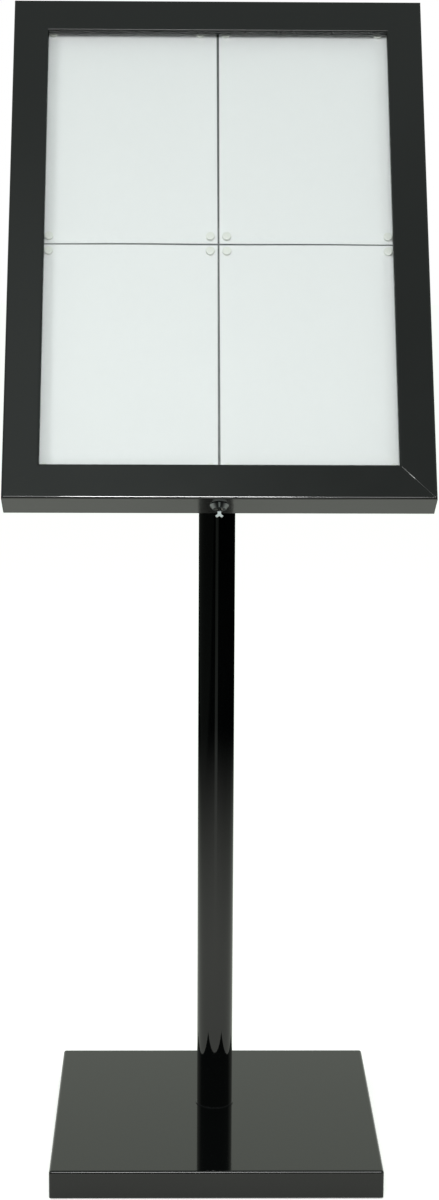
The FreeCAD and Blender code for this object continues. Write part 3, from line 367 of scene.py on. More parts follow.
def black_lacquer(name, dimple_mm, depth_um, gloss, dull, lip_dull=0.0):
    """Stoved black lacquer: near-black, mirror-like, with dimples of that width and depth."""
    material, tree = start_finish(name)
    place = add(tree, "ShaderNodeTexCoord").outputs["Object"]
    patches = add(tree, "ShaderNodeTexNoise", {"Vector": place, "Scale": 1000 / PATCH_MM, "Detail": 3.0})
    rough = add(tree, "ShaderNodeMapRange",
                {"Value": patches, "From Min": PATCH_FROM, "From Max": PATCH_FULL, "To Min": gloss,
                 "To Max": dull})
    tone = add(tree, "ShaderNodeMix", {0: patches, 6: linear(LACQUER_DEEP), 7: linear(LACQUER_PALE)},
               data_type="RGBA")
    peel = 1.0
    if lip_dull:
        height = add(tree, "ShaderNodeVectorMath", {0: place, 1: UP_CASE}, operation="DOT_PRODUCT")
        lip = add(tree, "ShaderNodeMapRange", {"Value": height, "From Min": LIP_THIN, "From Max": LIP_END,
                                               "To Min": 1.0, "To Max": 0.0})
        peel = add(tree, "ShaderNodeMath", {0: lip, 1: -LIP_SMOOTHER, 2: 1.0}, operation="MULTIPLY_ADD")
        rough = add(tree, "ShaderNodeMath", {0: lip, 1: lip_dull, 2: rough}, operation="MULTIPLY_ADD")
    dimples = add(tree, "ShaderNodeTexNoise", {"Vector": place, "Scale": 1000 / dimple_mm, "Detail": 2.0})
    bump = add(tree, "ShaderNodeBump", {"Height": dimples, "Strength": peel, "Distance": depth_um / 1e6})
    close_finish(tree, add(tree, "ShaderNodeBsdfPrincipled", {
        "Base Color": tone, "Roughness": rough, "IOR": 1.5, "Normal": bump}))
    return material


smooth_lacquer = black_lacquer("stoved_gloss_black_lacquer", dimple_mm=9, depth_um=4, gloss=0.03, dull=0.06)
peel_lacquer = black_lacquer("stoved_black_lacquer_with_orange_peel", dimple_mm=3, depth_um=4, gloss=0.06,
                             dull=0.1)
lip_lacquer = black_lacquer("stoved_black_lacquer_thin_on_the_lip", dimple_mm=3, depth_um=4, gloss=0.06,
                            dull=0.1, lip_dull=0.2)
print("lacquers:", smooth_lacquer.name, peel_lacquer.name, lip_lacquer.name)

# %% [markdown]
# ## Plated and raw steel
# Retainers, hinges and fasteners are zinc-plated: bluish grey, fairly bright, with a faint cloudy
# crystal pattern some millimetres across. Nickel on the lock's inner parts is warmer and smoother.
# Chrome is a mirror on the key and satin on the lock's body. The weight under the base is
# hot-rolled plate with dark mill scale. All are metals, so the tree is the same and only tones,
# cloud size and roughness differ. The grain is drawn 0.6 mm wide, coarser than the real one, so
# that it shows in a close view.

# %% Metals
CLOUD_FROM, CLOUD_FULL, METAL_GRAIN_MM = 0.3, 0.7, 0.6


def clouded(name, tones, cloud_mm, shines, grain_mm, grain_um, grain_detail, body):
    """A finish whose tone and roughness vary in clouds, with a surface grain of that width and depth."""
    material, tree = start_finish(name)
    place = add(tree, "ShaderNodeTexCoord").outputs["Object"]
    clouds = add(tree, "ShaderNodeTexNoise", {"Vector": place, "Scale": 1000 / cloud_mm, "Detail": 4.0})
    tone = add(tree, "ShaderNodeMix", {0: clouds, 6: linear(tones[0]), 7: linear(tones[1])},
               data_type="RGBA")
    rough = add(tree, "ShaderNodeMapRange",
                {"Value": clouds, "From Min": CLOUD_FROM, "From Max": CLOUD_FULL, "To Min": shines[0],
                 "To Max": shines[1]})
    grain = add(tree, "ShaderNodeTexNoise",
                {"Vector": place, "Scale": 1000 / grain_mm, "Detail": grain_detail})
    bump = add(tree, "ShaderNodeBump", {"Height": grain, "Strength": 1.0, "Distance": grain_um / 1e6})
    close_finish(tree, add(tree, "ShaderNodeBsdfPrincipled", {
        "Base Color": tone, "Roughness": rough, "Normal": bump, **body}))
    return material


def metal(name, dark, light, cloud_mm, smooth, rough, grain_um=0.0):
    """A metal with clouds of that size, between those tones and roughnesses."""
    return clouded(name, (dark, light), cloud_mm, (smooth, rough), METAL_GRAIN_MM, grain_um, 1.0,
                   {"Metallic": 1.0})


zinc_sheet = metal("zinc_plated_sheet_steel", "#8f969b", "#bcc1c4", 5, 0.28, 0.42, 6)
zinc_bright = metal("bright_zinc_plated_fasteners", "#a3a8ac", "#cdd1d3", 3, 0.2, 0.34, 4)
nickel = metal("nickel_plated_lock_parts", "#8d8b86", "#b5b2aa", 4, 0.18, 0.3, 3)
chrome = metal("polished_chrome_plate", "#cfd3d6", "#e4e7e9", 8, 0.04, 0.09)
dull_chrome = metal("satin_chrome_plate", "#8b8f91", "#a8acae", 8, 0.1, 0.16)
mill_steel = metal("hot_rolled_steel_with_mill_scale", "#303236", "#55585c", 14, 0.4, 0.62, 20)
print("metals:", [m.name for m in (zinc_sheet, zinc_bright, nickel, chrome, dull_chrome, mill_steel)])

# %% [markdown]
# ## Paper, magnets and the panel behind them
# The sheets are uncoated printing paper: matt, faintly mottled where fibres lie unevenly. The
# magnets have white moulded caps with a soft gloss. The panel that they hold on is steel with a
# thin dark grey-green coating, which shows only in the gaps between the sheets. Feet, seal and foot
# ring are rubber, foam and nylon. All are non-metals, with the clouds of the metals as a faint
# mottle.

# %% Matt and satin non-metals
def solid_colour(name, dark, light, mottle_mm, smooth, rough, grain_mm, grain_um, ior=1.5):
    """A non-metal with a faint mottle of that size and a surface grain of that width and depth."""
    return clouded(name, (dark, light), mottle_mm, (smooth, rough), grain_mm, grain_um, 3.0, {"IOR": ior})


paper = solid_colour("uncoated_white_printing_paper", "#ebecec", "#f0f1f1", 6, 0.85, 0.95, 1.2, 25, 1.45)
magnet_cap = solid_colour("white_moulded_abs_magnet_caps", "#dfe1da", "#e6e8e1", 4, 0.28, 0.36, 0.8, 3, 1.54)
panel_coat = solid_colour("dark_grey_coated_steel_panel", "#262b2a", "#303635", 20, 0.4, 0.5, 1.0, 10)
rubber = solid_colour("moulded_black_rubber", "#121212", "#1b1b1b", 8, 0.75, 0.9, 0.8, 30, 1.52)
foam = solid_colour("black_closed_cell_foam_strip", "#101112", "#1c1d1f", 5, 0.9, 1.0, 1.5, 160, 1.4)
nylon = solid_colour("black_moulded_nylon", "#0f1011", "#161718", 10, 0.18, 0.28, 1.0, 4, 1.53)
print("non-metals:", [m.name for m in (paper, magnet_cap, panel_coat, rubber, foam, nylon)])

# %% [markdown]
# ## Clear acrylic window
# The window is a 2 mm sheet of clear cast acrylic. A plain glass shader would hold back the lamps'
# light, because a path tracer can't aim through a refracting surface, and the sheets would go dark.
# Rays that test for shadow and rays that a matt surface sends out pass straight through a
# transparent shader, so each lamp counts once. All other rays, the camera's among them, meet real
# acrylic with its reflections.

# %% Acrylic
ACRYLIC_TINT = "#fbfcfc"
clear_acrylic, tree = start_finish("clear_cast_acrylic_sheet")
pane_body = add(tree, "ShaderNodeBsdfPrincipled", {"Base Color": linear(ACRYLIC_TINT), "Roughness": 0.0,
                                                   "IOR": 1.49, "Transmission Weight": 1.0})
see_through = add(tree, "ShaderNodeBsdfTransparent", {"Color": linear(ACRYLIC_TINT)})
ray = add(tree, "ShaderNodeLightPath").outputs
passing = add(tree, "ShaderNodeMath", {0: ray["Is Shadow Ray"], 1: ray["Is Diffuse Ray"]},
              operation="MAXIMUM")
close_finish(tree, add(tree, "ShaderNodeMixShader", {0: passing, 1: pane_body, 2: see_through}))
print("window:", clear_acrylic.name)

# %% [markdown]
# ## Finishes on the CAD nodes
# The record gives each CAD node a material slot, which stands for a finish. So the finishes go on
# by slot. Three slots hold nodes that look different: the door frame and the back have more orange
# peel than the other black steel, the seal is foam and not rubber, and the lock's body is satin
# beside the polished key. The differing nodes are named.

# %% Finishes by slot
FINISHES = {"black_lacquer": smooth_lacquer, "dark_panel": panel_coat, "zinc_steel": zinc_sheet,
            "zinc_fasteners": zinc_bright, "raw_steel": mill_steel, "white_paper": paper,
            "white_magnet": magnet_cap, "clear_acrylic": clear_acrylic, "black_rubber": rubber,
            "black_nylon": nylon, "chrome": chrome, "lock_steel": nickel}
DIFFERENT = {"door_gasket": foam, "door_top_rail": lip_lacquer, "door_bottom_rail": peel_lacquer,
             "door_left_rail": peel_lacquer, "door_right_rail": peel_lacquer, "back_panel": peel_lacquer,
             "lock_body": dull_chrome}
for subpart in frame["record"]["subparts"]:
    mesh = nodes[subpart["node"]].data
    mesh.materials.clear()
    mesh.materials.append(DIFFERENT.get(subpart["node"], FINISHES[subpart["material_slot"]]))

# %% [markdown]
# ## Sheets of paper
# CAD has the sheets as flat plates. Real paper lies flat only under its magnets and lifts a little
# between them, most along its free edges. A cloth simulation could give that, but paper hardly
# stretches and moves less than a millimetre here, so a rule is enough: the lift grows with the
# distance from the nearest magnet.

# %% How the paper lifts
FLAT_UNDER_MAGNET, LIFT_REACH, LIFT_MOST = 9.0, 75.0, 0.8
INNER_SHARE, EDGE_REACH = 0.45, 40
WAVE_SHARE, WAVE_ACROSS, WAVE_UP = 0.2, 47, 83
magnets = solids_of("sheet_magnets")
magnet_spots = [(low + high) / 2 for low, high in magnets]


def lift(across, up, low, high):
    """How far the paper stands off its panel at a point of the sheet, in millimetres."""
    away = min(math.hypot(across - spot.x, up - spot.z) for spot in magnet_spots) - FLAT_UNDER_MAGNET
    share = min(1.0, max(0.0, away / LIFT_REACH))
    edge = min(across - low.x, high.x - across, up - low.z, high.z - up)
    free_edge = INNER_SHARE + (1 - INNER_SHARE) * math.exp(-edge / EDGE_REACH)
    wave = 1 - WAVE_SHARE + WAVE_SHARE * math.sin(across / WAVE_ACROSS + up / WAVE_UP)
    return LIFT_MOST * share * share * (3 - 2 * share) * free_edge * wave


print("most lift, mm:", LIFT_MOST)

# %% [markdown]
# ## A sheet's mesh
# Each sheet is a fine grid, lifted by the rule, with the thickness of the CAD plate given back to
# it. The sheets were hung by hand: the gaps between them are wider than in CAD and not quite
# parallel. So each is cut short by half a millimetre at its sides, by less at its top and bottom,
# and turned by a twelfth of a degree.

# %% Sheet mesh
GRID_MM, CUT_SHORT, SPLAY = 8.0, Vector((0.55, 0, 0.22)), math.radians(0.08)


def sheet_points(low, high, thick, turn, wide, tall):
    """Rows of points of one side of a sheet, that far behind its front."""
    middle = (low + high) / 2
    rows = []
    for j in range(tall + 1):
        up = low.z + (high.z - low.z) * j / tall
        marks = [low.x + (high.x - low.x) * i / wide for i in range(wide + 1)]
        rows.append([on_case(x - turn * (up - middle.z), low.y + thick - lift(x, up, low, high),
                             up + turn * (x - middle.x)) for x in marks])
    return rows


def sheet_mesh(name, low, high, turn):
    """A closed, slightly lifted sheet between those case sizes."""
    wide, tall = (round((high[i] - low[i]) / GRID_MM) for i in (0, 2))
    grid = bmesh.new()
    sides = [sheet_points(low, high, thick, turn, wide, tall) for thick in (0.0, high.y - low.y)]
    front, rear = [[[grid.verts.new(p) for p in row] for row in rows] for rows in sides]
    for j in range(tall):
        for i in range(wide):
            grid.faces.new((front[j][i], front[j][i + 1], front[j + 1][i + 1], front[j + 1][i]))
            grid.faces.new((rear[j][i], rear[j + 1][i], rear[j + 1][i + 1], rear[j][i + 1]))
    rim = [(0, i) for i in range(wide)] + [(j, wide) for j in range(tall)]
    rim += [(tall, i) for i in range(wide, 0, -1)] + [(j, 0) for j in range(tall, 0, -1)]
    for (j, i), (k, m) in zip(rim, rim[1:] + rim[:1]):
        grid.faces.new((rear[j][i], rear[k][m], front[k][m], front[j][i]))
    bmesh.ops.recalc_face_normals(grid, faces=grid.faces)
    mesh = bpy.data.meshes.new(name)
    grid.to_mesh(mesh)
    grid.free()
    mesh.materials.append(paper)
    return mesh


print("sheets are turned by, degrees:", round(math.degrees(SPLAY), 2))

# %% Four sheets
def belongs(piece, body, node):
    """Puts a finished piece on its body and hides the CAD node that it stands for."""
    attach(piece, body)
    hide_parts(node)


for half, side in (("upper", "left"), ("upper", "right"), ("lower", "left"), ("lower", "right")):
    node = f"sheet_{half}_{side}"
    low, high = solids_of(node)[0]
    turn = SPLAY if (half == "upper") == (side == "left") else -SPLAY
    mesh = sheet_mesh("paper_" + node, low + CUT_SHORT, high - CUT_SHORT, turn)
    sheet = bpy.data.objects.new("paper_" + node, mesh)
    scene.collection.objects.link(sheet)
    belongs(sheet, "stand", node)
    print(sheet.name, "faces:", len(sheet.data.polygons))

# %% [markdown]
# ## A start and an end for Geometry Nodes trees
# Magnets, bolts, rivets, screws, studs and nuts repeat, so Geometry Nodes make each kind once and
# set it on every spot. The spots are the middles of the CAD solids. Each tree has its sizes as
# named inputs and ends in Realize Instances and Set Material. The result is then turned into a
# plain mesh, because a modifier or an instance would be lost in the export.

# %% Tree helpers
CRISP_FOLD = math.radians(35)


def start_tree(name, sizes):
    """A tree with a named input for each size, and the outputs of its Group Input node."""
    tree = bpy.data.node_groups.new(name, "GeometryNodeTree")
    inputs = [("Spots", "Geometry"), *((size, "Float") for size in sizes), ("Turn", "Vector"),
              ("Finish", "Material")]
    for label, kind in inputs:
        tree.interface.new_socket(label, in_out="INPUT", socket_type="NodeSocket" + kind)
    tree.interface.new_socket("Pieces", in_out="OUTPUT", socket_type="NodeSocketGeometry")
    return tree, add(tree, "NodeGroupInput").outputs


def on_spots(tree, given, shape):
    """The shape on every spot."""
    return add(tree, "GeometryNodeInstanceOnPoints",
               {"Points": given["Spots"], "Instance": shape, "Rotation": given["Turn"]})


def end_tree(tree, given, shape):
    """Makes instances real, keeps folds over 35 degrees crisp and gives the finish."""
    real = add(tree, "GeometryNodeRealizeInstances", {0: shape})
    bend = add(tree, "GeometryNodeInputMeshEdgeAngle")
    folded = add(tree, "FunctionNodeCompare", {0: bend, 1: CRISP_FOLD}, data_type="FLOAT",
                 operation="GREATER_THAN")
    smooth = add(tree, "GeometryNodeSetShadeSmooth", {0: real, 2: True}, domain="FACE")
    crisp = add(tree, "GeometryNodeSetShadeSmooth", {0: smooth, 1: folded, 2: False}, domain="EDGE")
    dressed = add(tree, "GeometryNodeSetMaterial", {0: crisp, "Material": given["Finish"]})
    add(tree, "NodeGroupOutput", {"Pieces": dressed})


def grow(name, tree, spots, sizes, edges=()):
    """Runs a tree on spots, or on edges between them, and returns a plain mesh object at the origin."""
    cloud = bpy.data.meshes.new(name)
    cloud.from_pydata([tuple(spot) for spot in spots], edges, [])
    piece = bpy.data.objects.new(name, cloud)
    scene.collection.objects.link(piece)
    modifier = piece.modifiers.new("repeat", "NODES")
    modifier.node_group = tree
    for socket in tree.interface.items_tree:
        if socket.in_out == "INPUT" and socket.name in sizes:
            modifier[socket.identifier] = sizes[socket.name]
    result = bpy.data.meshes.new_from_object(piece.evaluated_get(bpy.context.evaluated_depsgraph_get()))
    piece.modifiers.clear()
    piece.data = result
    print(name, "faces:", len(result.polygons))
    return piece


print("folds stay crisp over, degrees:", round(math.degrees(CRISP_FOLD)))

# %% Where the pieces sit and face
def seats(solids, behind=None):
    """The middle of each solid, at that depth behind the front face, or else at the solid's front end."""
    return [on_case((low.x + high.x) / 2, low.y if behind is None else behind, (low.z + high.z) / 2)
            for low, high in solids]


def turned(axis):
    """The rotation, as three angles, that stands a shape's own Z axis along that direction."""
    return tuple(Matrix((ACROSS, axis.cross(ACROSS), axis)).transposed().to_euler())


FACING_BACK, FACING_FRONT = turned(INTO_CASE), turned(-INTO_CASE)
print("turn of pieces that face the back:", [round(math.degrees(angle), 1) for angle in FACING_BACK])

# %% [markdown]
# ## Magnets
# Each magnet is a ferrite disc in a white cap with a soft rim. A cylinder with a few extra rings,
# subdivided once, gives that rim with no bevel.

# %% Magnets
tree, given = start_tree("magnet_caps", ["Diameter", "Height"])
radius = add(tree, "ShaderNodeMath", {0: given["Diameter"], 1: 0.5}, operation="MULTIPLY")
cap = add(tree, "GeometryNodeMeshCylinder", {"Vertices": 24, "Side Segments": 3, "Fill Segments": 3,
                                             "Radius": radius, "Depth": given["Height"]},
          fill_type="TRIANGLE_FAN")
rounded = add(tree, "GeometryNodeSubdivisionSurface", {0: cap, "Level": 1})
end_tree(tree, given, on_spots(tree, given, rounded))
low, high = magnets[0]
caps = grow("magnet_caps", tree, [on_case(*spot) for spot in magnet_spots],
            {"Diameter": (high.x - low.x) / 1000, "Height": (high.y - low.y) / 1000, "Turn": FACING_FRONT,
             "Finish": magnet_cap})
belongs(caps, "stand", "sheet_magnets")

# %% [markdown]
# ## Crowned heads
# Rivets and pan-head screws both have a round, slightly crowned head. A flat cylinder whose top
# rises towards the middle gives it, and the same small group of nodes serves both.

# %% Crowned head and shank
def crowned_head(tree, diameter, rim, crown):
    """A round head whose flat underside is at Z 0, with a rim of that height and a crowned top."""
    radius = add(tree, "ShaderNodeMath", {0: diameter, 1: 0.5}, operation="MULTIPLY")
    disc = add(tree, "GeometryNodeMeshCylinder", {"Vertices": 28, "Side Segments": 1, "Fill Segments": 5,
                                                  "Radius": radius, "Depth": rim}, fill_type="TRIANGLE_FAN")
    half = add(tree, "ShaderNodeMath", {0: rim, 1: 0.5}, operation="MULTIPLY")
    parts = add(tree, "ShaderNodeSeparateXYZ", {0: add(tree, "GeometryNodeInputPosition")}).outputs
    flat = add(tree, "ShaderNodeCombineXYZ", {0: parts["X"], 1: parts["Y"]})
    out = add(tree, "ShaderNodeVectorMath", {0: flat}, operation="LENGTH")
    share = add(tree, "ShaderNodeMath", {0: out, 1: radius}, operation="DIVIDE")
    fall = add(tree, "ShaderNodeMath", {0: share, 1: 2.0}, operation="POWER")
    rise = add(tree, "ShaderNodeMath", {0: 1.0, 1: fall}, operation="SUBTRACT")
    grown = add(tree, "ShaderNodeMath", {0: rise, 1: crown}, operation="MULTIPLY")
    on_top = add(tree, "FunctionNodeCompare", {0: parts["Z"], 1: 0.0}, data_type="FLOAT",
                 operation="GREATER_THAN")
    lifted = add(tree, "ShaderNodeMath", {0: grown, 1: on_top, 2: half}, operation="MULTIPLY_ADD")
    shift = add(tree, "ShaderNodeCombineXYZ", {2: lifted})
    return add(tree, "GeometryNodeSetPosition", {"Geometry": disc, "Offset": shift})


def shank(tree, diameter, long):
    """A round shank from Z 0 down."""
    radius = add(tree, "ShaderNodeMath", {0: diameter, 1: 0.5}, operation="MULTIPLY")
    rod = add(tree, "GeometryNodeMeshCylinder", {"Vertices": 20, "Radius": radius, "Depth": long})
    drop = add(tree, "ShaderNodeMath", {0: long, 1: -0.5}, operation="MULTIPLY")
    down = add(tree, "ShaderNodeCombineXYZ", {2: drop})
    return add(tree, "GeometryNodeTransform", {"Geometry": rod, "Translation": down})


print("crowned head and shank ready")

# %% [markdown]
# ## Hinge rivets
# Four zinc-plated blind rivets, two to each hinge, hold the fixed leaves to the back of the case.
# The head is crowned, and inside the case the tail is bulged over the sheet.

# %% Rivets
RIVET_SEAT, TAIL_SHARE = 46.5, 0.85
tree, given = start_tree("hinge_rivets", ["Head Diameter", "Rim", "Crown", "Shank Diameter", "Grip", "Tail"])
head = crowned_head(tree, given["Head Diameter"], given["Rim"], given["Crown"])
stem = shank(tree, given["Shank Diameter"], given["Grip"])
bulge = crowned_head(tree, given["Head Diameter"], given["Rim"], given["Tail"])
depth = add(tree, "ShaderNodeMath", {0: given["Grip"], 1: -1.0}, operation="MULTIPLY")
inside = add(tree, "ShaderNodeCombineXYZ", {2: depth})
tail = add(tree, "GeometryNodeTransform",
           {"Geometry": bulge, "Translation": inside, "Rotation": (math.pi, 0, 0),
            "Scale": (TAIL_SHARE, TAIL_SHARE, 1.0)})
whole = add(tree, "GeometryNodeJoinGeometry", {0: [head, stem, tail]})
end_tree(tree, given, on_spots(tree, given, whole))
rivets = grow("hinge_rivet_heads", tree, seats(solids_of("hinge_rivets"), RIVET_SEAT),
              {"Head Diameter": 0.0065, "Rim": 0.0005, "Crown": 0.001, "Shank Diameter": 0.0032,
               "Grip": 0.003, "Tail": 0.001, "Turn": FACING_BACK, "Finish": zinc_bright})
belongs(rivets, "stand", "hinge_rivets")

# %% [markdown]
# ## Panel screws
# Four pan-head screws with a cross recess hold the dark panel to its bosses. They sit behind the
# door frame and show when the door is up. The recess is two crossed slots, cut with a boolean. Its
# manifold solver keeps the cut head a closed mesh.

# %% Panel screws
SCREW_SEAT = 18.3
tree, given = start_tree("panel_screws", ["Head Diameter", "Rim", "Crown", "Slot Long", "Slot Wide",
                                          "Slot Deep", "Shank Diameter", "Shank Long"])
head = crowned_head(tree, given["Head Diameter"], given["Rim"], given["Crown"])
top = add(tree, "ShaderNodeMath", {0: given["Rim"], 1: given["Crown"]}, operation="ADD")
at_top = add(tree, "ShaderNodeCombineXYZ", {2: top})
deep = add(tree, "ShaderNodeMath", {0: given["Slot Deep"], 1: 2.0}, operation="MULTIPLY")
slots = []
for along_x, along_y in (("Slot Long", "Slot Wide"), ("Slot Wide", "Slot Long")):
    size = add(tree, "ShaderNodeCombineXYZ", {0: given[along_x], 1: given[along_y], 2: deep})
    block = add(tree, "GeometryNodeMeshCube", {"Size": size})
    slots.append(add(tree, "GeometryNodeTransform", {"Geometry": block, "Translation": at_top}))
cut = add(tree, "GeometryNodeMeshBoolean", {0: head, 1: slots}, operation="DIFFERENCE", solver="MANIFOLD")
stem = shank(tree, given["Shank Diameter"], given["Shank Long"])
whole = add(tree, "GeometryNodeJoinGeometry", {0: [cut, stem]})
end_tree(tree, given, on_spots(tree, given, whole))
screws = grow("panel_screw_heads", tree, seats(solids_of("panel_screws"), SCREW_SEAT),
              {"Head Diameter": 0.008, "Rim": 0.0012, "Crown": 0.001, "Slot Long": 0.0044,
               "Slot Wide": 0.0011, "Slot Deep": 0.0014, "Shank Diameter": 0.004, "Shank Long": 0.01,
               "Turn": FACING_FRONT, "Finish": zinc_bright})
belongs(screws, "stand", "panel_screws")

# %% [markdown]
# ## Hexagon bolts and nuts
# Four M6 bolts hold the case on the post's plate, and eight M4 nuts hold the window's retainers. A
# real hexagon is turned to a 30 degree chamfer before it is parted off, so its corners end in small
# arcs. A round disc gives just that when its rim is pulled out to six flat sides and drops by 30
# degrees beyond the turned face. Its inner ring becomes the turned face's edge.

# %% Hexagon with chamfer
TURNED_FACE, CHAMFER = 0.475, math.radians(30)
SIDE_ANGLE, INNER_RING = math.radians(60), 0.5


def hexagon(tree, flats, tall, both_ends):
    """A hexagon prism from Z 0 up, chamfered at its top, or at both ends."""
    disc = add(tree, "GeometryNodeMeshCylinder",
               {"Vertices": 36, "Fill Segments": 2, "Radius": 1.0, "Depth": tall}, fill_type="TRIANGLE_FAN")
    parts = add(tree, "ShaderNodeSeparateXYZ", {0: add(tree, "GeometryNodeInputPosition")}).outputs
    angle = add(tree, "ShaderNodeMath", {0: parts["Y"], 1: parts["X"]}, operation="ARCTAN2")
    past_corner = add(tree, "ShaderNodeMath", {0: angle, 1: SIDE_ANGLE, 2: 0.0}, operation="WRAP")
    off_middle = add(tree, "ShaderNodeMath", {0: past_corner, 1: SIDE_ANGLE / 2}, operation="SUBTRACT")
    slant = add(tree, "ShaderNodeMath", {0: off_middle}, operation="COSINE")
    half_flats = add(tree, "ShaderNodeMath", {0: flats, 1: 0.5}, operation="MULTIPLY")
    side = add(tree, "ShaderNodeMath", {0: half_flats, 1: slant}, operation="DIVIDE")
    face = add(tree, "ShaderNodeMath", {0: flats, 1: TURNED_FACE}, operation="MULTIPLY")
    flat = add(tree, "ShaderNodeCombineXYZ", {0: parts["X"], 1: parts["Y"]})
    out = add(tree, "ShaderNodeVectorMath", {0: flat}, operation="LENGTH")
    radius = add(tree, "ShaderNodeMapRange", {"Value": out, "From Min": INNER_RING, "From Max": 1.0,
                                              "To Min": face, "To Max": side})
    heading = add(tree, "ShaderNodeVectorMath", {0: flat}, operation="NORMALIZE")
    spread = add(tree, "ShaderNodeVectorMath", {0: heading, "Scale": radius}, operation="SCALE")
    past_face = add(tree, "ShaderNodeMath", {0: radius, 1: face}, operation="SUBTRACT")
    drop = add(tree, "ShaderNodeMath", {0: past_face, 1: -math.tan(CHAMFER)}, operation="MULTIPLY")
    ends = add(tree, "ShaderNodeMath", {0: parts["Z"], 1: 0.0},
               operation="SIGN" if both_ends else "GREATER_THAN")
    half = add(tree, "ShaderNodeMath", {0: tall, 1: 0.5}, operation="MULTIPLY")
    raised = add(tree, "ShaderNodeMath", {0: parts["Z"], 1: half}, operation="ADD")
    height = add(tree, "ShaderNodeMath", {0: drop, 1: ends, 2: raised}, operation="MULTIPLY_ADD")
    upright = add(tree, "ShaderNodeCombineXYZ", {2: height})
    place = add(tree, "ShaderNodeVectorMath", {0: spread, 1: upright}, operation="ADD")
    return add(tree, "GeometryNodeSetPosition", {"Geometry": disc, "Position": place})


print("chamfer, degrees:", round(math.degrees(CHAMFER)))

# %% Bolts
BOLT_SEAT = 50.2
tree, given = start_tree("hexagon_bolts", ["Across Flats", "Head Height", "Shank Diameter", "Shank Long"])
head = hexagon(tree, given["Across Flats"], given["Head Height"], both_ends=False)
stem = shank(tree, given["Shank Diameter"], given["Shank Long"])
whole = add(tree, "GeometryNodeJoinGeometry", {0: [head, stem]})
end_tree(tree, given, on_spots(tree, given, whole))
bolts = solids_of("head_mount_bolts")
mount_bolts = grow("case_mount_bolts", tree, seats(bolts, BOLT_SEAT),
                   {"Across Flats": 0.01, "Head Height": 0.004, "Shank Diameter": 0.006,
                    "Shank Long": (BOLT_SEAT - bolts[0][0].y) / 1000, "Turn": FACING_BACK,
                    "Finish": zinc_bright})
belongs(mount_bolts, "stand", "head_mount_bolts")

# %% Nuts
tree, given = start_tree("hexagon_nuts", ["Across Flats", "Height"])
nut = hexagon(tree, given["Across Flats"], given["Height"], both_ends=True)
end_tree(tree, given, on_spots(tree, given, nut))
nuts = solids_of("pane_retainer_nuts")
low, high = nuts[0]
retainer_nuts = grow("retainer_nuts", tree, seats(nuts),
                     {"Across Flats": 0.007, "Height": (high.y - low.y) / 1000, "Turn": FACING_BACK,
                      "Finish": zinc_bright})
belongs(retainer_nuts, "door", "pane_retainer_nuts")

# %% [markdown]
# ## Threaded weld studs
# The window's retainers sit on M4 studs that are welded inside the door frame. The CAD studs are
# plain rods. Here a cylinder with many rings is pushed in and out by a wave that turns once round
# for each 0.7 mm of height, and that wave is a real screw thread.

# %% Studs
tree, given = start_tree("threaded_studs", ["Diameter", "Long", "Pitch", "Thread Deep"])
radius = add(tree, "ShaderNodeMath", {0: given["Diameter"], 1: 0.5}, operation="MULTIPLY")
rod = add(tree, "GeometryNodeMeshCylinder", {"Vertices": 16, "Side Segments": 60, "Radius": radius,
                                             "Depth": given["Long"]})
half = add(tree, "ShaderNodeMath", {0: given["Long"], 1: 0.5}, operation="MULTIPLY")
seat = add(tree, "ShaderNodeCombineXYZ", {2: half})
raised = add(tree, "GeometryNodeTransform", {"Geometry": rod, "Translation": seat})
parts = add(tree, "ShaderNodeSeparateXYZ", {0: add(tree, "GeometryNodeInputPosition")}).outputs
angle = add(tree, "ShaderNodeMath", {0: parts["Y"], 1: parts["X"]}, operation="ARCTAN2")
round_share = add(tree, "ShaderNodeMath", {0: angle, 1: 1 / (2 * math.pi)}, operation="MULTIPLY")
turns = add(tree, "ShaderNodeMath", {0: parts["Z"], 1: given["Pitch"]}, operation="DIVIDE")
phase = add(tree, "ShaderNodeMath", {0: turns, 1: round_share}, operation="SUBTRACT")
flank = add(tree, "ShaderNodeMath", {0: phase, 1: 0.5}, operation="PINGPONG")
cut_in = add(tree, "ShaderNodeMath", {0: flank, 1: given["Thread Deep"]}, operation="MULTIPLY")
inward = add(tree, "ShaderNodeMath", {0: cut_in, 1: -2.0}, operation="MULTIPLY")
flat = add(tree, "ShaderNodeCombineXYZ", {0: parts["X"], 1: parts["Y"]})
heading = add(tree, "ShaderNodeVectorMath", {0: flat}, operation="NORMALIZE")
push = add(tree, "ShaderNodeVectorMath", {0: heading, "Scale": inward}, operation="SCALE")
thread = add(tree, "GeometryNodeSetPosition", {"Geometry": raised, "Offset": push})
end_tree(tree, given, on_spots(tree, given, thread))
studs = solids_of("pane_retainer_studs")
low, high = studs[0]
weld_studs = grow("retainer_studs", tree, seats(studs),
                  {"Diameter": 0.004, "Long": (high.y - low.y) / 1000, "Pitch": 0.0007,
                   "Thread Deep": 0.0004, "Turn": FACING_BACK, "Finish": zinc_bright})
belongs(weld_studs, "door", "pane_retainer_studs")
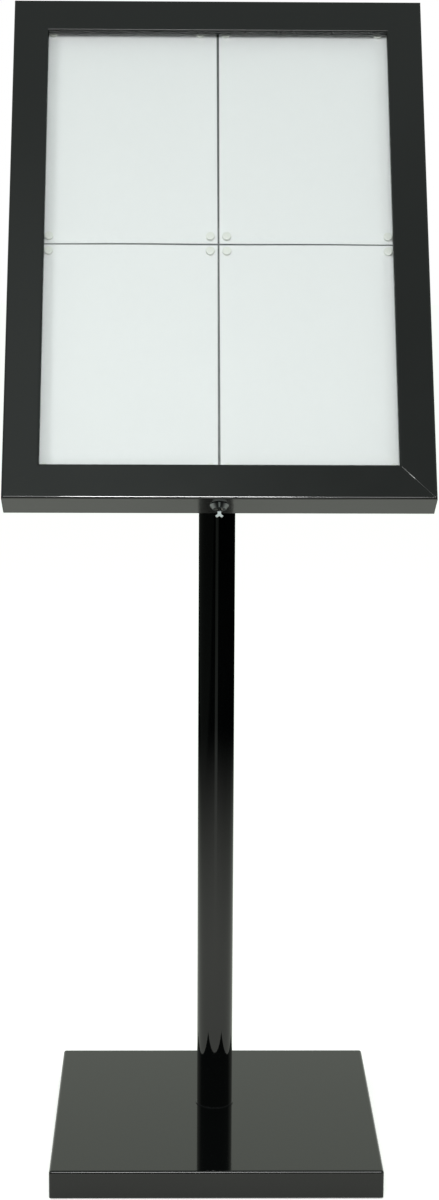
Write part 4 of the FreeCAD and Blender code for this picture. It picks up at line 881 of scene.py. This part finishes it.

# %% [markdown]
# ## Mitre seams
# The rails' mitred ends are welded from behind and filled before lacquering. The filler shrinks and
# swells a little, so a seam stays visible as a very low, uneven ridge. On the lower right one a pale
# highlight is painted into the colour, brightest a third of the way out and at the corner: painted
# glints of that seam. Each ridge is a thin flat rod, half sunk in the frame's face. A drawn curve
# gives the painted highlight along it, and the nodes store that as an attribute for the finish.

# %% Lacquer with a painted highlight
# Painted highlight: a pale colour and a duller finish stand in for the seam's glints.
PAINTED_GLINT, SEAM_GLOSS, GLINT_DULL = "#eceeec", 0.06, 0.6
lacquer_with_painted_glint, tree = start_finish("black_lacquer_with_painted_glint")
wear = add(tree, "ShaderNodeAttribute", attribute_name="wear").outputs["Fac"]
tone = add(tree, "ShaderNodeMix", {0: wear, 6: linear(LACQUER_PALE), 7: linear(PAINTED_GLINT)}, data_type="RGBA")
rough = add(tree, "ShaderNodeMapRange", {"Value": wear, "To Min": SEAM_GLOSS, "To Max": GLINT_DULL})
close_finish(tree, add(tree, "ShaderNodeBsdfPrincipled", {
    "Base Color": tone, "Roughness": rough, "IOR": 1.5}))
print("seam finish:", lacquer_with_painted_glint.name)

# %% Ridge with the painted highlight along it
# How strong the painted highlight is along the seam, from one end to the other.
GLINT_ALONG = [(0.0, 0.3), (1.0, 1.0), (0.2, 0.4), (0.29, 1.0), (0.35, 1.0), (0.43, 0.2), (0.7, 0.07),
              (0.93, 0.1)]
SWELL_MM = 9
tree, given = start_tree("mitre_seam", ["Long", "Half Width", "Height", "Wear"])
rod = add(tree, "GeometryNodeMeshCylinder",
          {"Vertices": 12, "Side Segments": 60, "Radius": 1.0, "Depth": given["Long"]})
parts = add(tree, "ShaderNodeSeparateXYZ", {0: add(tree, "GeometryNodeInputPosition")}).outputs
gone = add(tree, "ShaderNodeMath", {0: parts["Z"], 1: given["Long"]}, operation="DIVIDE")
share = add(tree, "ShaderNodeMath", {0: gone, 1: 0.5}, operation="ADD")
curve = add(tree, "ShaderNodeFloatCurve", {"Value": share})
marks = curve.mapping.curves[0].points
for number, mark in enumerate(GLINT_ALONG):
    # A new curve already has its two end points.
    if number < 2:
        marks[number].location = mark
    else:
        marks.new(*mark)
curve.mapping.update()
glint_here = add(tree, "ShaderNodeMath", {0: curve, 1: given["Wear"]}, operation="MULTIPLY")
marked = add(tree, "GeometryNodeStoreNamedAttribute", {"Geometry": rod, "Name": "wear", "Value": glint_here},
             data_type="FLOAT")
along = add(tree, "ShaderNodeCombineXYZ", {2: parts["Z"]})
swell = add(tree, "ShaderNodeTexNoise", {"Vector": along, "Scale": 1000 / SWELL_MM, "Detail": 2.0})
rise = add(tree, "ShaderNodeMath", {0: given["Height"], 1: swell}, operation="MULTIPLY")
across = add(tree, "ShaderNodeMath", {0: parts["Y"], 1: given["Half Width"]}, operation="MULTIPLY")
tall = add(tree, "ShaderNodeMath", {0: parts["X"], 1: rise}, operation="MULTIPLY")
low_rod = add(tree, "ShaderNodeCombineXYZ", {0: parts["Z"], 1: across, 2: tall})
ridge = add(tree, "GeometryNodeSetPosition", {"Geometry": marked, "Position": low_rod})
# The rod's axes change places in a way that turns it inside out, so its faces are flipped back.
outward = add(tree, "GeometryNodeFlipFaces", {0: ridge})
end_tree(tree, given, on_spots(tree, given, outward))
print("points of the wear curve:", len(marks))

# %% Four seams
HALF_HEAD, HEAD_TALL, RAIL_WIDE, DOOR_BEND = 249.0, 660.0, 42.5, 2.2
SEAM_LONG, SEAM_INSET = math.sqrt(2) * (RAIL_WIDE - 2 * DOOR_BEND), RAIL_WIDE / 2
# Only the lower right seam gets the painted highlight.
SEAMS = {"lower_right": (1, -1, 0.5), "lower_left": (-1, -1, 0.0), "upper_right": (1, 1, 0.0),
         "upper_left": (-1, 1, 0.0)}
for corner, (hand, rising, glint_strength) in SEAMS.items():
    middle_up = HEAD_TALL - SEAM_INSET if rising > 0 else SEAM_INSET
    middle = on_case(hand * (HALF_HEAD - SEAM_INSET), 0, middle_up)
    run = (ACROSS * hand + UP_CASE * rising).normalized()
    turn = Matrix((run, (-INTO_CASE).cross(run), -INTO_CASE)).transposed().to_euler()
    seam = grow("mitre_seam_" + corner, tree, [middle],
                {"Long": SEAM_LONG / 1000, "Half Width": 0.0003, "Height": 0.00002, "Wear": glint_strength,
                 "Turn": tuple(turn), "Finish": lacquer_with_painted_glint})
    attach(seam, "door")

# %% [markdown]
# ## Weld bead
# The post's slanted end is welded all round to the case's mount plate, and the weld is lacquered
# with the rest. A hand-laid bead has ripples where each pool of metal set, here every 3 mm. The
# path is the slanted end's ellipse: points round the post, each raised to the plate's plane. The
# nodes make a ripple of the radius along the path.

# %% Ripples of a bead
PATH_STEP = 0.0008
tree, given = start_tree("weld_bead", ["Radius", "Ripple", "Ripple Share"])
path = add(tree, "GeometryNodeMeshToCurve", {0: given["Spots"]})
fine = add(tree, "GeometryNodeResampleCurve", {0: path, "Length": PATH_STEP}, mode="LENGTH")
done = add(tree, "GeometryNodeSplineParameter").outputs["Length"]
phase = add(tree, "ShaderNodeMath", {0: done, 1: given["Ripple"]}, operation="DIVIDE")
saw = add(tree, "ShaderNodeMath", {0: phase}, operation="FRACT")
dip = add(tree, "ShaderNodeMath", {0: saw, 1: given["Ripple Share"]}, operation="MULTIPLY")
kept = add(tree, "ShaderNodeMath", {0: 1.0, 1: dip}, operation="SUBTRACT")
thick = add(tree, "ShaderNodeMath", {0: given["Radius"], 1: kept}, operation="MULTIPLY")
outline = add(tree, "GeometryNodeCurvePrimitiveCircle", {"Resolution": 14, "Radius": 1.0})
rippled = add(tree, "GeometryNodeCurveToMesh", {0: fine, "Profile Curve": outline, "Scale": thick})
end_tree(tree, given, rippled)
print("nodes of the bead:", len(tree.nodes))

# %% Weld bead
POST_RADIUS, POST_BEHIND, PLATE_BACK, BEAD_STEPS = 22.25, 18.0, 49.0, 72
on_plate = on_case(0, PLATE_BACK, 0)
ring = []
for step in range(BEAD_STEPS):
    angle = 2 * math.pi * step / BEAD_STEPS
    x, y = POST_RADIUS * math.sin(angle) / 1000, (POST_BEHIND + POST_RADIUS * math.cos(angle)) / 1000
    ring.append((x, y, on_plate.z + (y - on_plate.y) * UP_CASE.z / UP_CASE.y))
bead = grow("post_weld_bead", tree, ring,
            {"Radius": 0.0028, "Ripple": 0.003, "Ripple Share": 0.22, "Finish": smooth_lacquer},
            edges=[(step, (step + 1) % BEAD_STEPS) for step in range(BEAD_STEPS)])
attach(bead, "stand")

# %% [markdown]
# ## The end
# The last line sets Blender's view transform to Standard.

scene.view_settings.view_transform = "Standard"
